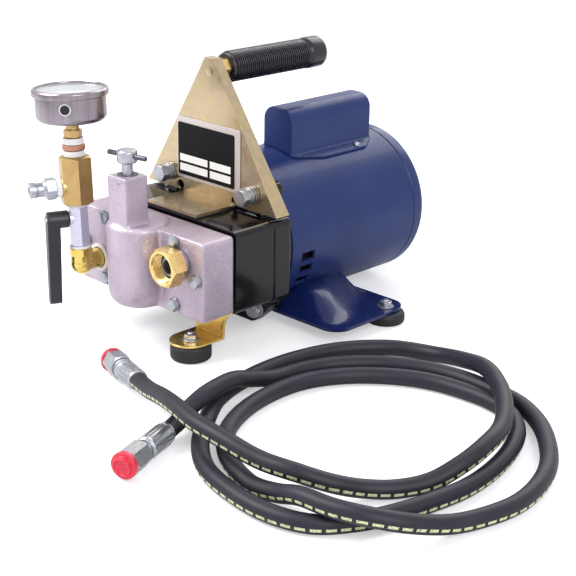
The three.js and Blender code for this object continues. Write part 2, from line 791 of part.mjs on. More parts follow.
// Front foot bracket: an upright plate clamped behind the head, and a flange over the foot
function footBracket() {
  const upright = plateY(bracketOutline(0), bracketFace, bracketFace + bracketSheet);
  const flange = new THREE.Shape();
  const round = (bracketOuter - bracketInner) / 2;
  flange.moveTo(bracketInner, bracketFace + bracketSheet);
  flange.lineTo(bracketInner, frontFootY);
  flange.absarc(bracketInner + round, frontFootY, round, Math.PI, 2 * Math.PI);
  flange.lineTo(bracketOuter, bracketFace + bracketSheet);
  const shelf = prism(flange, bracketSheet, 8).translate(0, 0, frontFootHeight);
  return cut(
    join(upright, shelf),
    rodZ(studRadius + seat, frontFootHeight - overrun, frontFootHeight + bracketSheet + overrun, frontFootX, frontFootY, 8),
    rodY(boltRadius + seat, bracketFace - overrun, bracketFace + bracketSheet + overrun, lobeX, axisHeight - boltCircle, 8),
  );
}
part('front_foot_bracket', footBracket(), yellowZinc);

// Handle bracket: triangular plate with folded legs and a tab over the crankcase
const legSlope = (handleHalf - handleApexHalf) / (handleApex - handleBottom);
const boltZ = axisHeight + earPlace;
const plateFace = handlePlateY + seat;

function handleBracket() {
  const outline = path([
    [-handleHalf, handleBottom], [handleHalf, handleBottom], [handleApexHalf, handleApex],
    [-handleApexHalf, handleApex],
  ]);
  const back = plateFace + handleSheet;
  const solid = plateY(outline, plateFace, back + handleFlange);
  const inset = handleSheet * Math.hypot(1, legSlope);
  const pocket = plateY(path([
    [-handleHalf - overrun * legSlope + inset, handleBottom - overrun],
    [handleHalf + overrun * legSlope - inset, handleBottom - overrun],
    [handleApexHalf + overrun / legSlope, handleApex - handleSheet * 2 - overrun / legSlope ** 2],
    [-handleApexHalf - overrun / legSlope, handleApex - handleSheet * 2 - overrun / legSlope ** 2],
  ]), back, back + handleFlange + overrun);
  const taper = prism(path([
    [back + handleFlange, handleBottom], [back + handleFlange + overrun, handleBottom],
    [back + handleFlange + overrun, handleApex + overrun], [back + handleFlangeTop, handleApex + overrun],
  ]), handleHalf * 2).rotateX(degrees(90)).rotateZ(degrees(90)).translate(-handleHalf, 0, 0);
  const tab = box(-tabHalf, tabHalf, tabFront, back, tabZ, tabZ + handleSheet);
  const root = box(-tabHalf, tabHalf, plateFace, back, tabZ, handleBottom + overrun);
  const holes = sides.map(([, sign]) => rodY(
    bracketBoltRadius + seat, plateFace - overrun, back + overrun, sign * earPlace, boltZ, 12));
  const earRoom = sides.map(([, sign]) => rodY(
    earRadius + seat, back, back + handleFlange + overrun, sign * earPlace, boltZ));
  return cut(
    join(cut(solid, pocket, taper, ...earRoom), root, tab),
    ...holes,
    rodY(studShank + seat, plateFace - overrun, back + handleFlange + overrun, 0, handleZ, 12),
  );
}
part('handle_bracket', handleBracket(), yellowZinc);
part('nameplate', box(
  plateLeft, plateRight, plateFace - seat - plateDepth, plateFace - seat, plateBottom, plateTop), labelFace);

for (const [side, sign] of sides) {
  const x = sign * earPlace;
  const stackFront = plateFace - seat - washerCount * washerThickness;
  const profile = [[0, stackFront - bracketBoltHeadHeight], [bracketBoltRadius, stackFront - bracketBoltHeadHeight]];
  for (let k = 0; k < washerCount; k += 1) {
    const start = stackFront + k * washerThickness;
    const radius = washerRadius - (k % 2) * washerStep;
    profile.push([radius, start], [radius, start + washerThickness]);
  }
  profile.push([bracketBoltRadius, plateFace - seat], [bracketBoltRadius, shellFront - bellWall - seat]);
  profile.push([0, shellFront - bellWall - seat]);
  const shank = alongY(turned(profile, 12)).translate(x, 0, boltZ);
  const head = hexY(bracketBoltHeadHalf, stackFront - bracketBoltHeadHeight, stackFront, x, boltZ);
  part(`bracket_bolt_${side}`, join(shank, head), zinc);

  const low = axisHeight - earPlace;
  const lowFront = lowerLobeFront - seat;
  const lowHeadBack = lowFront - washerThickness;
  const lowHead = hexY(bracketBoltHeadHalf, lowHeadBack - bracketBoltHeadHeight, lowHeadBack, x, low);
  const lowWasher = rodY(washerRadius, lowHeadBack - seat, lowFront, x, low, 16);
  const lowShank = rodY(bracketBoltRadius, lowFront - overrun, shellFront - bellWall - seat, x, low, 8);
  part(`adapter_bolt_${side}`, join(lowHead, lowWasher, lowShank), zinc);
}

// Handle stud with its nut, and the moulded grip
const studNutFront = plateFace + handleSheet + handleFlangeTop + handleNutGap;
const studNut = hexY(handleNutHalf, studNutFront, gripFront - seat, 0, handleZ);
const studRod = rodY(studShank, plateFace - overrun, gripEndStart, 0, handleZ, 12);
part('handle_stud', join(studNut, studRod), brass);

function handleGrip() {
  const profile = [
    [0, gripFront], [gripRadius - gripRound / 2, gripFront], [gripRadius, gripFront + gripRound / 2],
    [gripRadius, gripEndStart], [gripEndRadius, gripEndStart + gripRound / 2],
    [gripEndRadius, gripBack - gripRound], [gripEndRadius - gripRound, gripBack], [0, gripBack],
  ];
  return cut(
    alongY(turned(profile, 20)).translate(0, 0, handleZ),
    rodY(studShank + seat, gripFront - overrun, gripEndStart + seat, 0, handleZ, 12),
  );
}
part('handle_grip', handleGrip(), rubber);

// Relief valve in the tower: screw with its cross pin, spring seat and spring
function reliefScrew() {
  const screw = turned([
    [0, stemBottom], [stemRadius, stemBottom], [stemRadius, knobBottom], [knobRadius - knobBevel, knobBottom],
    [knobRadius, knobBottom + knobBevel], [knobRadius, knobTop - knobBevel], [knobRadius - knobBevel, knobTop],
    [0, knobTop],
  ], 20);
  const pin = rodX(pinRadius, -pinLength / 2, pinLength / 2, 0, pinZ, 8).rotateZ(degrees(pinTurn));
  return join(screw, pin).translate(0, reliefY, 0);
}
part('relief_screw', reliefScrew(), steel);
part('relief_spring_seat', turned([
  [0, springTop - springWire * 2], [springGuide, springTop - springWire * 2],
  [springGuide, springTop + springWire + seat],
  [towerBore - running, springTop + springWire + seat], [towerBore - running, stemBottom - seat], [0, stemBottom - seat],
], 16).translate(0, reliefY, 0), brass);

class Helix extends THREE.Curve {
  getPoint(t, target = new THREE.Vector3()) {
    const angle = 2 * Math.PI * springCurls * t;
    const low = springBottom + springWire;
    const rise = springTop - springWire - low;
    return target.set(springRadius * Math.cos(angle), springRadius * Math.sin(angle), low + rise * t);
  }
}

function tubeAlong(curve, radius, steps, around) {
  const section = path(Array.from({ length: around }, (_, k) => {
    const angle = 2 * Math.PI * k / around;
    return [radius * Math.cos(angle), radius * Math.sin(angle)];
  }));
  return new THREE.ExtrudeGeometry(section, { steps, bevelEnabled: false, extrudePath: curve });
}
part('relief_spring', tubeAlong(new Helix(), springWire, springCurls * 8, 5).translate(0, reliefY, 0), steel);

// Inlet: adapter in the right lobe and the swivel nut that turns on it
const inletRingBack = inletNutBack - inletShoulder - seat;
const inletRingFront = inletRingBack - inletRingWidth;
part('inlet_adapter', alongY(turned([
  [inletBore, inletRingFront], [inletRingRadius, inletRingFront], [inletRingRadius, inletRingBack],
  [inletNeckRadius, inletRingBack], [inletNeckRadius, inletNutBack + seat],
  [inletFlangeRadius, inletNutBack + seat], [inletFlangeRadius, -seat], [inletShankRadius, -seat],
  [inletShankRadius, passageDepth - seat], [inletBore, passageDepth - seat], [inletBore, inletRingFront],
], 20)).translate(inletX, 0, inletZ), brass);

function swivelNut() {
  const hex = hexY(inletNutRadius * Math.cos(Math.PI / 6), inletNutFront, inletNutBack, inletX, inletZ);
  const mouth = rodY(inletNutBore, inletNutFront - overrun, inletNutBack - inletShoulder, inletX, inletZ, 24);
  const neck = rodY(inletNeckRadius + running, inletNutFront - overrun, inletNutBack + overrun, inletX, inletZ, 20);
  return cut(hex, mouth, neck);
}
part('inlet_swivel_nut', swivelNut(), brass);

// Gauge stack: elbow, shut-off valve, tee, bushing and gauge, leaning about the outlet port's axis
const stack = new THREE.Group();
stack.position.set(portX, 0, portZ);
stack.rotation.y = -degrees(stackLean);
body.add(stack);
const upright = (geometry) => geometry.translate(0, stackY, 0);
const facing = (geometry) => upright(geometry.rotateZ(-degrees(portTurn)));
const thread = (base) => [[pipeBore, base - threadLength], [threadRadius, base - threadLength], [threadRadius, base]];

function elbow() {
  const leg = alongY(turned([[0, stackY], [elbowRadius, stackY], [elbowRadius, -seat * 2], [threadRadius, -seat * 2],
    [threadRadius, passageDepth - seat], [0, passageDepth - seat]], 16));
  const knee = new THREE.SphereGeometry(elbowRadius, 16, 8).translate(0, stackY, 0);
  const riser = upright(rodZ(elbowRadius, 0, elbowTop, 0, 0, 16));
  const collar = upright(hexZ(elbowCollar, elbowTop - elbowCollarHeight, elbowTop));
  return cut(
    join(leg, knee, riser, collar),
    rodY(pipeBore, stackY, passageDepth + overrun, 0, 0, 8),
    upright(rodZ(pipeBore, 0, elbowTop + overrun, 0, 0, 8)),
    upright(rodZ(threadRadius + seat, elbowTop - threadLength - seat, elbowTop + overrun, 0, 0, 12)),
  );
}
part('outlet_elbow', elbow(), brass, stack);

const valveBase = elbowTop + seat;

function valveBody() {
  const bar = facing(hexZ(valveHalf, valveBase, valveTop));
  const spigot = upright(rodZ(threadRadius, valveBase - threadLength, valveBase + overrun, 0, 0, 12));
  const gland = facing(rodY(valveStemRadius * 2, -leverStart + seat, 0, 0, ballHeight, 12));
  return cut(
    join(bar, spigot, gland),
    upright(rodZ(pipeBore, valveBase - threadLength - overrun, valveTop + overrun, 0, 0, 8)),
    upright(rodZ(threadRadius + seat, valveTop - threadLength - seat, valveTop + overrun, 0, 0, 12)),
    upright(new THREE.SphereGeometry(ballRadius + seat, 12, 8).translate(0, 0, ballHeight)),
    facing(rodY(valveStemRadius + seat, -leverStart - overrun, 0, 0, ballHeight, 12)),
  );
}
part('valve_body', valveBody(), zinc, stack);

function valveBall() {
  const ball = new THREE.SphereGeometry(ballRadius, 12, 8).translate(0, 0, ballHeight);
  const stem = rodY(valveStemRadius, -leverStart - leverHubLength + overrun * 2, 0, 0, ballHeight, 12);
  const bore = rodZ(pipeBore, ballHeight - ballRadius - overrun, ballHeight + ballRadius + overrun, 0, 0, 8);
  return facing(cut(join(ball, stem), bore));
}
part('valve_ball', valveBall(), steel, stack);

function valveLever() {
  const hub = rodY(leverHubRadius, -leverStart - leverHubLength, -leverStart, 0, ballHeight, 16);
  const arm = plateY(path([
    [-leverRootHalf, 0], [-leverTipHalf, -leverLength], [leverTipHalf, -leverLength], [leverRootHalf, 0],
  ]), -leverThick / 2, leverThick / 2)
    .rotateX(-degrees(leverSplay))
    .translate(0, -leverStart - leverHubLength + leverThick / 2, ballHeight);
  const bore = rodY(
    valveStemRadius + seat, -leverStart - leverHubLength + overrun * 2 - seat, -leverStart + overrun, 0, ballHeight, 12);
  return facing(cut(join(hub, arm), bore));
}
part('valve_lever', valveLever(), blackPlastic, stack);

const teeBase = valveTop + seat;

function brassTee() {
  const bar = facing(hexZ(teeHalf, teeBase, teeTop));
  const spigot = upright(rodZ(threadRadius, teeBase - threadLength, teeBase + overrun, 0, 0, 12));
  const branch = facing(rodY(branchRadius, -branchLength, 0, 0, teeBranch, 16));
  return cut(
    join(bar, spigot, branch),
    upright(rodZ(pipeBore, teeBase - threadLength - overrun, teeTop + overrun, 0, 0, 8)),
    upright(rodZ(threadRadius + seat, teeTop - threadLength - seat, teeTop + overrun, 0, 0, 12)),
    facing(rodY(pipeBore, -branchLength - overrun, 0, 0, teeBranch, 8)),
    facing(rodY(threadRadius + seat, -branchLength - overrun, -branchLength + threadLength + seat, 0, teeBranch, 12)),
  );
}
part('brass_tee', brassTee(), brass, stack);

function hoseFitting() {
  const start = -branchLength - seat;
  const hex = hexY(fittingHexHalf, start - fittingHexLength, start, 0, teeBranch);
  const spigot = rodY(threadRadius, start - overrun, start + threadLength, 0, teeBranch, 12);
  const flare = rodY(fittingFlareRadius, start - fittingLength, start - fittingHexLength + overrun, 0, teeBranch, 16);
  const bore = rodY(pipeBore, start - fittingLength - overrun, start + threadLength + overrun, 0, teeBranch, 8);
  return facing(cut(join(hex, spigot, flare), bore));
}
part('hose_fitting', hoseFitting(), zinc, stack);

const bushingBase = teeTop + seat;
const collarHeight = (bushingTop - bushingBase) * bushingCollarShare;
const collarBase = (bushingTop + bushingBase - collarHeight) / 2;
part('gauge_bushing', upright(turned([
  ...thread(bushingBase), [bushingRadius, bushingBase], [bushingRadius, collarBase], [bushingCollar, collarBase],
  [bushingCollar, collarBase + collarHeight], [bushingRadius, collarBase + collarHeight], [bushingRadius, bushingTop],
  [threadRadius + seat, bushingTop], [threadRadius + seat, bushingTop - threadLength - seat],
  [pipeBore, bushingTop - threadLength - seat], [pipeBore, bushingBase - threadLength],
], 16)), brass, stack);

// Gauge: case with its socket, dial, needle, lens and bezel
const socketBase = bushingTop + seat;
const gaugeTop = gaugeBottom + gaugeDepth;
const dialZ = gaugeTop - dialDrop;

function gaugeCase() {
  const cup = turned([
    [0, gaugeBottom], [gaugeRadius, gaugeBottom], [gaugeRadius, gaugeTop], [gaugeRadius - gaugeWall, gaugeTop],
    [gaugeRadius - gaugeWall, gaugeBottom + gaugeWall], [0, gaugeBottom + gaugeWall],
  ], 32);
  const stem = rodZ(gaugeStem, gaugeSocketTop - overrun, gaugeBottom + gaugeWall / 2, 0, 0, 12);
  const hex = hexZ(gaugeSocketHalf, socketBase, gaugeSocketTop);
  const spigot = rodZ(threadRadius, socketBase - threadLength, socketBase + overrun, 0, 0, 12);
  const ledge = ring(gaugeRadius - gaugeWall * 2, gaugeRadius - gaugeWall / 2, dialZ - gaugeWall * 2, dialZ - seat, 32);
  const bore = rodZ(pipeBore, socketBase - threadLength - overrun, gaugeBottom + gaugeWall + overrun, 0, 0, 8);
  return upright(cut(join(cup, stem, hex, spigot, ledge), bore));
}
part('gauge_case', gaugeCase(), zinc, stack);

const pinHole = needleHub / 2;
part('gauge_dial', upright(ring(
  pinHole, gaugeRadius - gaugeWall - seat, dialZ, dialZ + dialThickness, 32)), whiteFace, stack);

function gaugeNeedle() {
  const base = dialZ + dialThickness + seat;
  const hand = prism(path([
    [-needleRootHalf, -needleTail], [needleRootHalf, -needleTail], [needleHalf / 2, needleLength],
    [-needleHalf / 2, needleLength],
  ]), needleThickness).translate(0, 0, base);
  const hub = rodZ(needleHub, base, base + needleThickness * 2, 0, 0, 12);
  const pin = rodZ(pinHole - seat, dialZ - overrun, base + needleThickness, 0, 0, 8);
  return upright(join(hand, hub, pin).rotateZ(degrees(needleRest)));
}
part('gauge_needle', gaugeNeedle(), blackPlastic, stack);

const lensZ = gaugeTop + seat;
part('gauge_lens', upright(rodZ(gaugeRadius - seat, lensZ, lensZ + lensThickness, 0, 0, 32)), clearGlass, stack);
const bezelBase = gaugeTop - bezelHeight / 2;
part('gauge_bezel', upright(turned([
  [gaugeRadius + seat, bezelBase], [bezelRadius, bezelBase], [bezelRadius, bezelBase + bezelHeight],
  [gaugeRadius - bezelLip, bezelBase + bezelHeight], [gaugeRadius - bezelLip, lensZ + lensThickness + seat],
  [gaugeRadius + seat, lensZ + lensThickness + seat], [gaugeRadius + seat, bezelBase],
], 32)), zinc, stack);

// Pressure hose lying in loose turns on the floor, from end A to end B
const hoseRoute = [
  [87.5, -75.3, 17], [110, -83, 19.5], [135, -91.5, 25], [161, -101, 29.5], [191, -109, 30], [222, -110, 28],
  [254, -106, 23], [281, -99, 21.5], [300, -84, 15], [312, -66, 9], [326, -47, 7], [338, -25, 9], [346, -2, 17],
  [346, 24, 22], [337, 55, 22], [319, 84, 22], [294, 112, 22], [265, 133, 22], [233, 146, 15], [200, 151, 8],
  [165, 137, 7], [138, 102, 7], [125, 57, 7], [125, 9, 7], [137, -36, 7], [159, -69, 7], [184, -98, 7],
  [216, -121, 7], [254, -131, 7], [290, -132, 7], [318, -122, 7], [336, -99, 7], [347, -72, 7], [354, -43, 7],
  [358, -12, 7], [355, 22, 7], [345, 58, 7], [330, 86, 7], [309, 105, 7], [286, 112, 7], [258, 112, 7],
  [229, 106, 7], [202, 91, 7], [177, 66, 7], [162, 36, 7], [159, 2, 7], [166, -36, 7], [182, -69, 7],
  [202, -90, 7], [226, -105, 7], [254, -114, 7], [280, -116, 12], [303, -118, 20], [330, -117, 22],
  [353, -109, 22], [371, -88, 16], [382, -58, 8], [391, -31, 7], [395, -4, 7], [391, 24, 7], [380, 53, 7],
  [361, 81, 7], [334, 108, 7], [304, 125, 7], [272, 130, 7], [243, 130, 7], [212, 123, 7], [183, 107, 7],
  [158, 80, 7], [144, 48, 7], [141, 20, 8], [142, -5, 15], [144, -28, 22], [147, -48, 23], [150, -64, 22.2],
  [152, -79, 18], [154, -93, 11.6], [156, -101, 10.2], [158.5, -108, 10.2],
];
const hoseCurve = new THREE.CatmullRomCurve3(hoseRoute.map((point) => new THREE.Vector3(...point)));
hoseCurve.arcLengthDivisions = 4000;
part('hose', tubeAlong(hoseCurve, hoseRadius, hoseSteps, hoseSides), hoseRubber);

// Least gap between stretches of the tube that are further apart along it than a bend needs
function leastHoseGap() {
  const corners = hoseCurve.getSpacedPoints(hoseSteps);
  const points = corners.slice(1).flatMap((end, i) => (
    Array.from({ length: hoseSamples }, (_, k) => corners[i].clone().lerp(end, k / hoseSamples))));
  let least = Infinity;
  let where = points[0];
  points.forEach((point, i) => {
    for (let j = i + hoseSamples * 3; j < points.length; j += 1) {
      const gap = point.distanceTo(points[j]) - 2 * hoseRadius;
      if (gap < least) [least, where] = [gap, point];
    }
  });
  return [least.toFixed(2), where.toArray().map((value) => value.toFixed(0)).join(' ')];
}
console.log('hose length', hoseCurve.getLength().toFixed(0), 'least gap to itself', ...leastHoseGap());

// End fittings: a crimped ferrule and a union nut, each closed by a plastic cap with a rim
function alongAxis(geometry, origin, direction) {
  const turn = new THREE.Quaternion().setFromUnitVectors(new THREE.Vector3(0, 0, 1), direction);
  return geometry.applyQuaternion(turn).translate(origin.x, origin.y, origin.z);
}

const hoseEnds = [['a', 0, -1], ['b', 1, 1]];
for (const [end, t, sign] of hoseEnds) {
  const origin = hoseCurve.getPoint(t);
  const direction = hoseCurve.getTangent(t).multiplyScalar(sign);
  const nutStart = ferruleLength + ferruleNeck;
  const nutEnd = nutStart + hoseNutLength;
  const fitting = cut(
    join(
      turned([
        [0, seat], [ferruleRadius, seat], [ferruleRadius, ferruleLength], [noseRadius, ferruleLength],
        [noseRadius, nutStart + overrun], [0, nutStart + overrun],
      ], 16),
      hexZ(hoseNutHalf, nutStart, nutEnd),
    ),
    rodZ(noseRadius, nutEnd - capPlug - seat, nutEnd + overrun, 0, 0, 16),
  );
  part(`hose_end_${end}`, alongAxis(fitting, origin, direction), zinc);
  const cap = turned([
    [0, nutEnd - capPlug], [noseRadius - seat, nutEnd - capPlug], [noseRadius - seat, nutEnd + seat],
    [capRadius, nutEnd + seat], [capRadius, nutEnd + seat + capRim],
    [capDome, nutEnd + seat + capRim], [capDome, nutEnd + capLength], [0, nutEnd + capLength],
  ], 16);
  part(`cap_${end}`, alongAxis(cap, origin, direction), redPlastic);
}

export default pump;
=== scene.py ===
import bpy
import bmesh
import math
from mathutils import Matrix, Vector


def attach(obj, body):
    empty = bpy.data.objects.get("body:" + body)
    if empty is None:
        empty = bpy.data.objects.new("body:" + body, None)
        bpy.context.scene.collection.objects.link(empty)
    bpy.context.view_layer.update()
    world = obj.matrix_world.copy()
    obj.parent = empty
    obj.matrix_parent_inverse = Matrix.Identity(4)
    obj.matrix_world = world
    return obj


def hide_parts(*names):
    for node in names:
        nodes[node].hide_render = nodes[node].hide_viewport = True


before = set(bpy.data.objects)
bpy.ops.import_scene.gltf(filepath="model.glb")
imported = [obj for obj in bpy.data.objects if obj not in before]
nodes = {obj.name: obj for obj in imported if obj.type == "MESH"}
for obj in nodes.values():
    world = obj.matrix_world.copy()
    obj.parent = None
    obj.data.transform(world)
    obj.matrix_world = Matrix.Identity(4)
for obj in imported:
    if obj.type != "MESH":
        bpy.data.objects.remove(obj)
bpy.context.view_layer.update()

# Lengths below are in millimetres, with Y measured from the pump head's front face
mm = 0.001
headFaceY = -121.3
axisHeight = 76.0


def place(x, y, z):
    return Vector((x, y + headFaceY, z)) * mm


def perMm(size):
    return 1.0 / (size * mm)


def toLinear(hexColour):
    parts = [int(hexColour[i:i + 2], 16) / 255 for i in (1, 3, 5)]
    return tuple(c / 12.92 if c <= 0.04045 else ((c + 0.055) / 1.055) ** 2.4 for c in parts) + (1.0,)


def addNode(tree, kind, inputs=None, **settings):
    node = tree.nodes.new(kind)
    for key, value in settings.items():
        setattr(node, key, value)
    for key, value in (inputs or {}).items():
        if isinstance(value, bpy.types.NodeSocket):
            tree.links.new(value, node.inputs[key])
        else:
            node.inputs[key].default_value = value
    return node


def linked(name, data):
    piece = bpy.data.objects.new(name, data)
    bpy.context.scene.collection.objects.link(piece)
    return piece


# Camera at the photograph's place
camera = {"place": (839.3, -684.4, 457.6), "pitch": 20.61, "yaw": 44.18, "roll": 1.01, "lens": 84.91,
          "sensor": 36.0}


def makeCamera(look):
    pitch, yaw, roll = (math.radians(look[key]) for key in ("pitch", "yaw", "roll"))
    ahead = Vector((-math.sin(yaw), math.cos(yaw), 0))
    right = Vector((math.cos(yaw), math.sin(yaw), 0))
    up = Vector((0, 0, 1))
    forward = ahead * math.cos(pitch) - up * math.sin(pitch)
    down = -(ahead * math.sin(pitch) + up * math.cos(pitch))
    rolledRight = right * math.cos(roll) - down * math.sin(roll)
    rolledDown = right * math.sin(roll) + down * math.cos(roll)
    data = bpy.data.cameras.new("camera")
    data.lens, data.sensor_width = look["lens"], look["sensor"]
    data.clip_start, data.clip_end = 0.05, 20
    holder = linked("camera", data)
    holder.matrix_world = Matrix.Translation(place(*look["place"])) @ Matrix(
        (rolledRight, -rolledDown, -forward)).transposed().to_4x4()
    bpy.context.scene.camera = holder


makeCamera(camera)
print("camera made")

# Materials


def startMaterial(name):
    material = bpy.data.materials.new(name)
    material.use_nodes = True
    tree = material.node_tree
    tree.nodes.clear()
    return material, tree, addNode(tree, "ShaderNodeTexCoord").outputs["Object"]


def endMaterial(material, tree, inputs, kind="ShaderNodeBsdfPrincipled"):
    shader = addNode(tree, kind, inputs)
    addNode(tree, "ShaderNodeOutputMaterial", {"Surface": shader.outputs[0]})
    return material


def noise(tree, where, size, detail, **more):
    inputs = {"Vector": where, "Scale": perMm(size), "Detail": detail, **more}
    return addNode(tree, "ShaderNodeTexNoise", inputs).outputs["Fac"]


def blend(tree, share, low, high):
    # Each end is a hex colour or another colour socket
    ends = [toLinear(end) if isinstance(end, str) else end for end in (low, high)]
    return addNode(tree, "ShaderNodeMix", {0: share, 6: ends[0], 7: ends[1]}, data_type="RGBA").outputs[2]


def remap(tree, value, low, high, start=0.0, end=1.0):
    return addNode(tree, "ShaderNodeMapRange", {
        "Value": value, "From Min": start, "From Max": end, "To Min": low, "To Max": high}).outputs[0]


def compute(tree, operation, first, second=0.0):
    return addNode(tree, "ShaderNodeMath", {0: first, 1: second}, operation=operation).outputs[0]


def relief(tree, height, strength, depth):
    return addNode(tree, "ShaderNodeBump", {
        "Height": height, "Strength": strength, "Distance": depth * mm}).outputs[0]


def sandCastAluminium(name, dark, light):
    # Aluminium cast in sand and tumbled: grey with a lilac tint, fine grain, soft broad highlights
    material, tree, where = startMaterial(name)
    patches = noise(tree, where, 22, 3.0)
    grain = noise(tree, where, 1.3, 2.0)
    pits = addNode(tree, "ShaderNodeTexVoronoi", {"Vector": where, "Scale": perMm(2.6)}).outputs["Distance"]
    mottle = remap(tree, grain, 0.84, 1.08, 0.3, 0.75)
    colour = addNode(tree, "ShaderNodeVectorMath", {
        0: blend(tree, patches, dark, light), "Scale": mottle}, operation="SCALE")
    return endMaterial(material, tree, {
        "Base Color": colour.outputs[0], "Metallic": 0.6, "Roughness": remap(tree, patches, 0.4, 0.54),
        "Normal": relief(tree, compute(tree, "ADD", grain, pits), 0.55, 0.35)})


def stovedEnamel(name, dark, light, roughness, coat, specular):
    # Stoved enamel on iron or sheet: even colour, a clear gloss and slight orange peel
    material, tree, where = startMaterial(name)
    dust = noise(tree, where, 9, 6.0, Roughness=0.7)
    return endMaterial(material, tree, {
        "Base Color": blend(tree, noise(tree, where, 40, 4.0), dark, light),
        "Roughness": remap(tree, dust, roughness, roughness * 1.6, 0.3, 0.8),
        "Normal": relief(tree, noise(tree, where, 3.5, 2.0), 0.12, 0.2),
        "Specular IOR Level": specular, "Coat Weight": coat, "Coat Roughness": 0.08})


def platedSteel(name, hues, sizes, roughness, metallic=0.9, stretch=1.0):
    # Passivated zinc on steel: bright, with clouds of colour where the film is thicker
    material, tree, spot = startMaterial(name)
    where = addNode(tree, "ShaderNodeMapping", {"Vector": spot, "Scale": (1.0, 1.0, stretch)}).outputs[0]
    clouds = remap(tree, noise(tree, where, sizes[0], 3.0, Distortion=1.2 * stretch), 0.0, 1.0, 0.32, 0.68)
    fine = noise(tree, where, sizes[1], 3.0)
    return endMaterial(material, tree, {
        "Base Color": blend(tree, fine, blend(tree, clouds, hues[0], hues[1]), hues[2]), "Metallic": metallic,
        "Roughness": remap(tree, fine, *roughness), "Normal": relief(tree, fine, 0.25, 0.12)})


def turnedBrass(name, dark, light, roughness):
    # Brass, turned or milled from bar and slightly dulled: warm, with fine tool marks
    material, tree, where = startMaterial(name)
    stretched = addNode(tree, "ShaderNodeMapping", {"Vector": where, "Scale": (1.0, 1.0, 7.0)}).outputs[0]
    marks = noise(tree, stretched, 4, 3.0)
    return endMaterial(material, tree, {
        "Base Color": blend(tree, noise(tree, where, 9, 4.0), dark, light), "Metallic": 0.92,
        "Roughness": remap(tree, marks, roughness, roughness + 0.16, 0.3, 0.7),
        "Normal": relief(tree, marks, 0.06, 0.1)})


def mouldedPolymer(name, dark, light, roughness, grain, depth=0.08, coat=0.0):
    # Rubber or plastic from a mould: nearly even colour and a fine matt grain
    material, tree, where = startMaterial(name)
    fine = noise(tree, where, grain, 2.0)
    return endMaterial(material, tree, {
        "Base Color": blend(tree, noise(tree, where, 14, 4.0), dark, light),
        "Roughness": remap(tree, fine, roughness - 0.06, roughness + 0.1),
        "Normal": relief(tree, fine, 0.3, depth), "Coat Weight": coat, "Coat Roughness": 0.15})


layline = {"round": 0.985, "halfShare": 0.04, "pitch": 9.0, "inked": 0.72, "colour": "#dcdcae"}


def wrappedHoseCover(name, dark, light, line):
    # Rubber hose cured in a cloth wrap: slate black with a purple cast, weave marks and a plain dashed line
    material, tree, where = startMaterial(name)
    along = addNode(tree, "ShaderNodeUVMap", uv_map="along").outputs[0]
    spot = addNode(tree, "ShaderNodeSeparateXYZ", {"Vector": along})
    weave = noise(tree, where, 1.2, 1.0)
    # UV x is metres along the hose, y the share of a turn round it
    beat = compute(tree, "MULTIPLY", spot.outputs["X"], perMm(line["pitch"]))
    dash = compute(tree, "LESS_THAN", compute(tree, "FRACT", beat), line["inked"])
    aside = compute(tree, "ABSOLUTE", compute(tree, "SUBTRACT", spot.outputs["Y"], line["round"]))
    band = compute(tree, "LESS_THAN", aside, line["halfShare"])
    worn = remap(tree, weave, 0.45, 0.95, 0.35, 0.5)
    drawn = compute(tree, "MULTIPLY", compute(tree, "MULTIPLY", dash, band), worn)
    base = blend(tree, noise(tree, where, 16, 4.0), dark, light)
    return endMaterial(material, tree, {
        "Base Color": blend(tree, drawn, base, line["colour"]), "Roughness": 0.48, "Specular IOR Level": 0.32,
        "Normal": relief(tree, weave, 0.3, 0.15)})


def plainFace(name, tone, roughness, specular=0.5):
    # Printed or enamelled face: even colour with a little dust in the gloss
    material, tree, where = startMaterial(name)
    dust = noise(tree, where, 5, 5.0)
    return endMaterial(material, tree, {
        "Base Color": toLinear(tone), "Roughness": remap(tree, dust, roughness, roughness + 0.15),
        "Specular IOR Level": specular})


def clearWindow(name):
    # Polished glass window: clear, with a sharp reflection
    material, tree, where = startMaterial(name)
    return endMaterial(material, tree, {
        "Base Color": toLinear("#f4f8fa"), "Roughness": 0.03, "Alpha": 0.4, "IOR": 1.5})


castAluminium = sandCastAluminium("sandCastAluminium", "#a697aa", "#d3c6d3")
blackEnamel = stovedEnamel("blackEnamel", "#060509", "#0e0c12", 0.14, 0.25, 0.22)
navyEnamel = stovedEnamel("navyEnamel", "#1a295c", "#293b74", 0.27, 0.1, 0.22)
deepBlueEnamel = stovedEnamel("deepBlueEnamel", "#101b4e", "#1b2962", 0.2, 0.25, 0.26)
whiteZinc = platedSteel("whiteZincPlate", ("#73767e", "#a3a6af", "#c6c8ce"), (4, 1.2), (0.26, 0.42))
sparkleZinc = platedSteel("sandBlastedZinc", ("#a2a4c0", "#c6c6dc", "#e6e4f2"), (2.2, 0.9), (0.3, 0.5), 0.7)
yellowZinc = platedSteel("yellowPassivatedZinc", ("#b39c74", "#a38f84", "#c9b994"), (26, 6), (0.16, 0.3))
goldZinc = platedSteel("goldPassivatedZinc", ("#cfa53e", "#e0ba58", "#e8d08c"), (14, 4), (0.18, 0.32))
satinSteel = platedSteel("satinSteel", ("#8f8c98", "#aaa6b2", "#c8c4cc"), (9, 1.4), (0.26, 0.4), 0.85)
# Blacked steel for the cross pin and the stator; the same dark material also serves as painted shade in the
# tower's recess and hole
darkSteelAndShade = platedSteel("blackedSteelAndShade", ("#3a3a44", "#50505c", "#6a6a74"), (6, 1.2), (0.3, 0.45), 0.8)
stainless = platedSteel("drawnStainless", ("#5c5058", "#948c9a", "#a8a0a6"), (8, 2.5), (0.2, 0.3), 0.95, 0.04)
brass = turnedBrass("turnedBrass", "#dab264", "#f2dc9e", 0.16)
brightBrass = turnedBrass("brightBrass", "#cfae48", "#ecd886", 0.14)
forgedBrass = turnedBrass("forgedBrass", "#a98a58", "#d2b27c", 0.28)
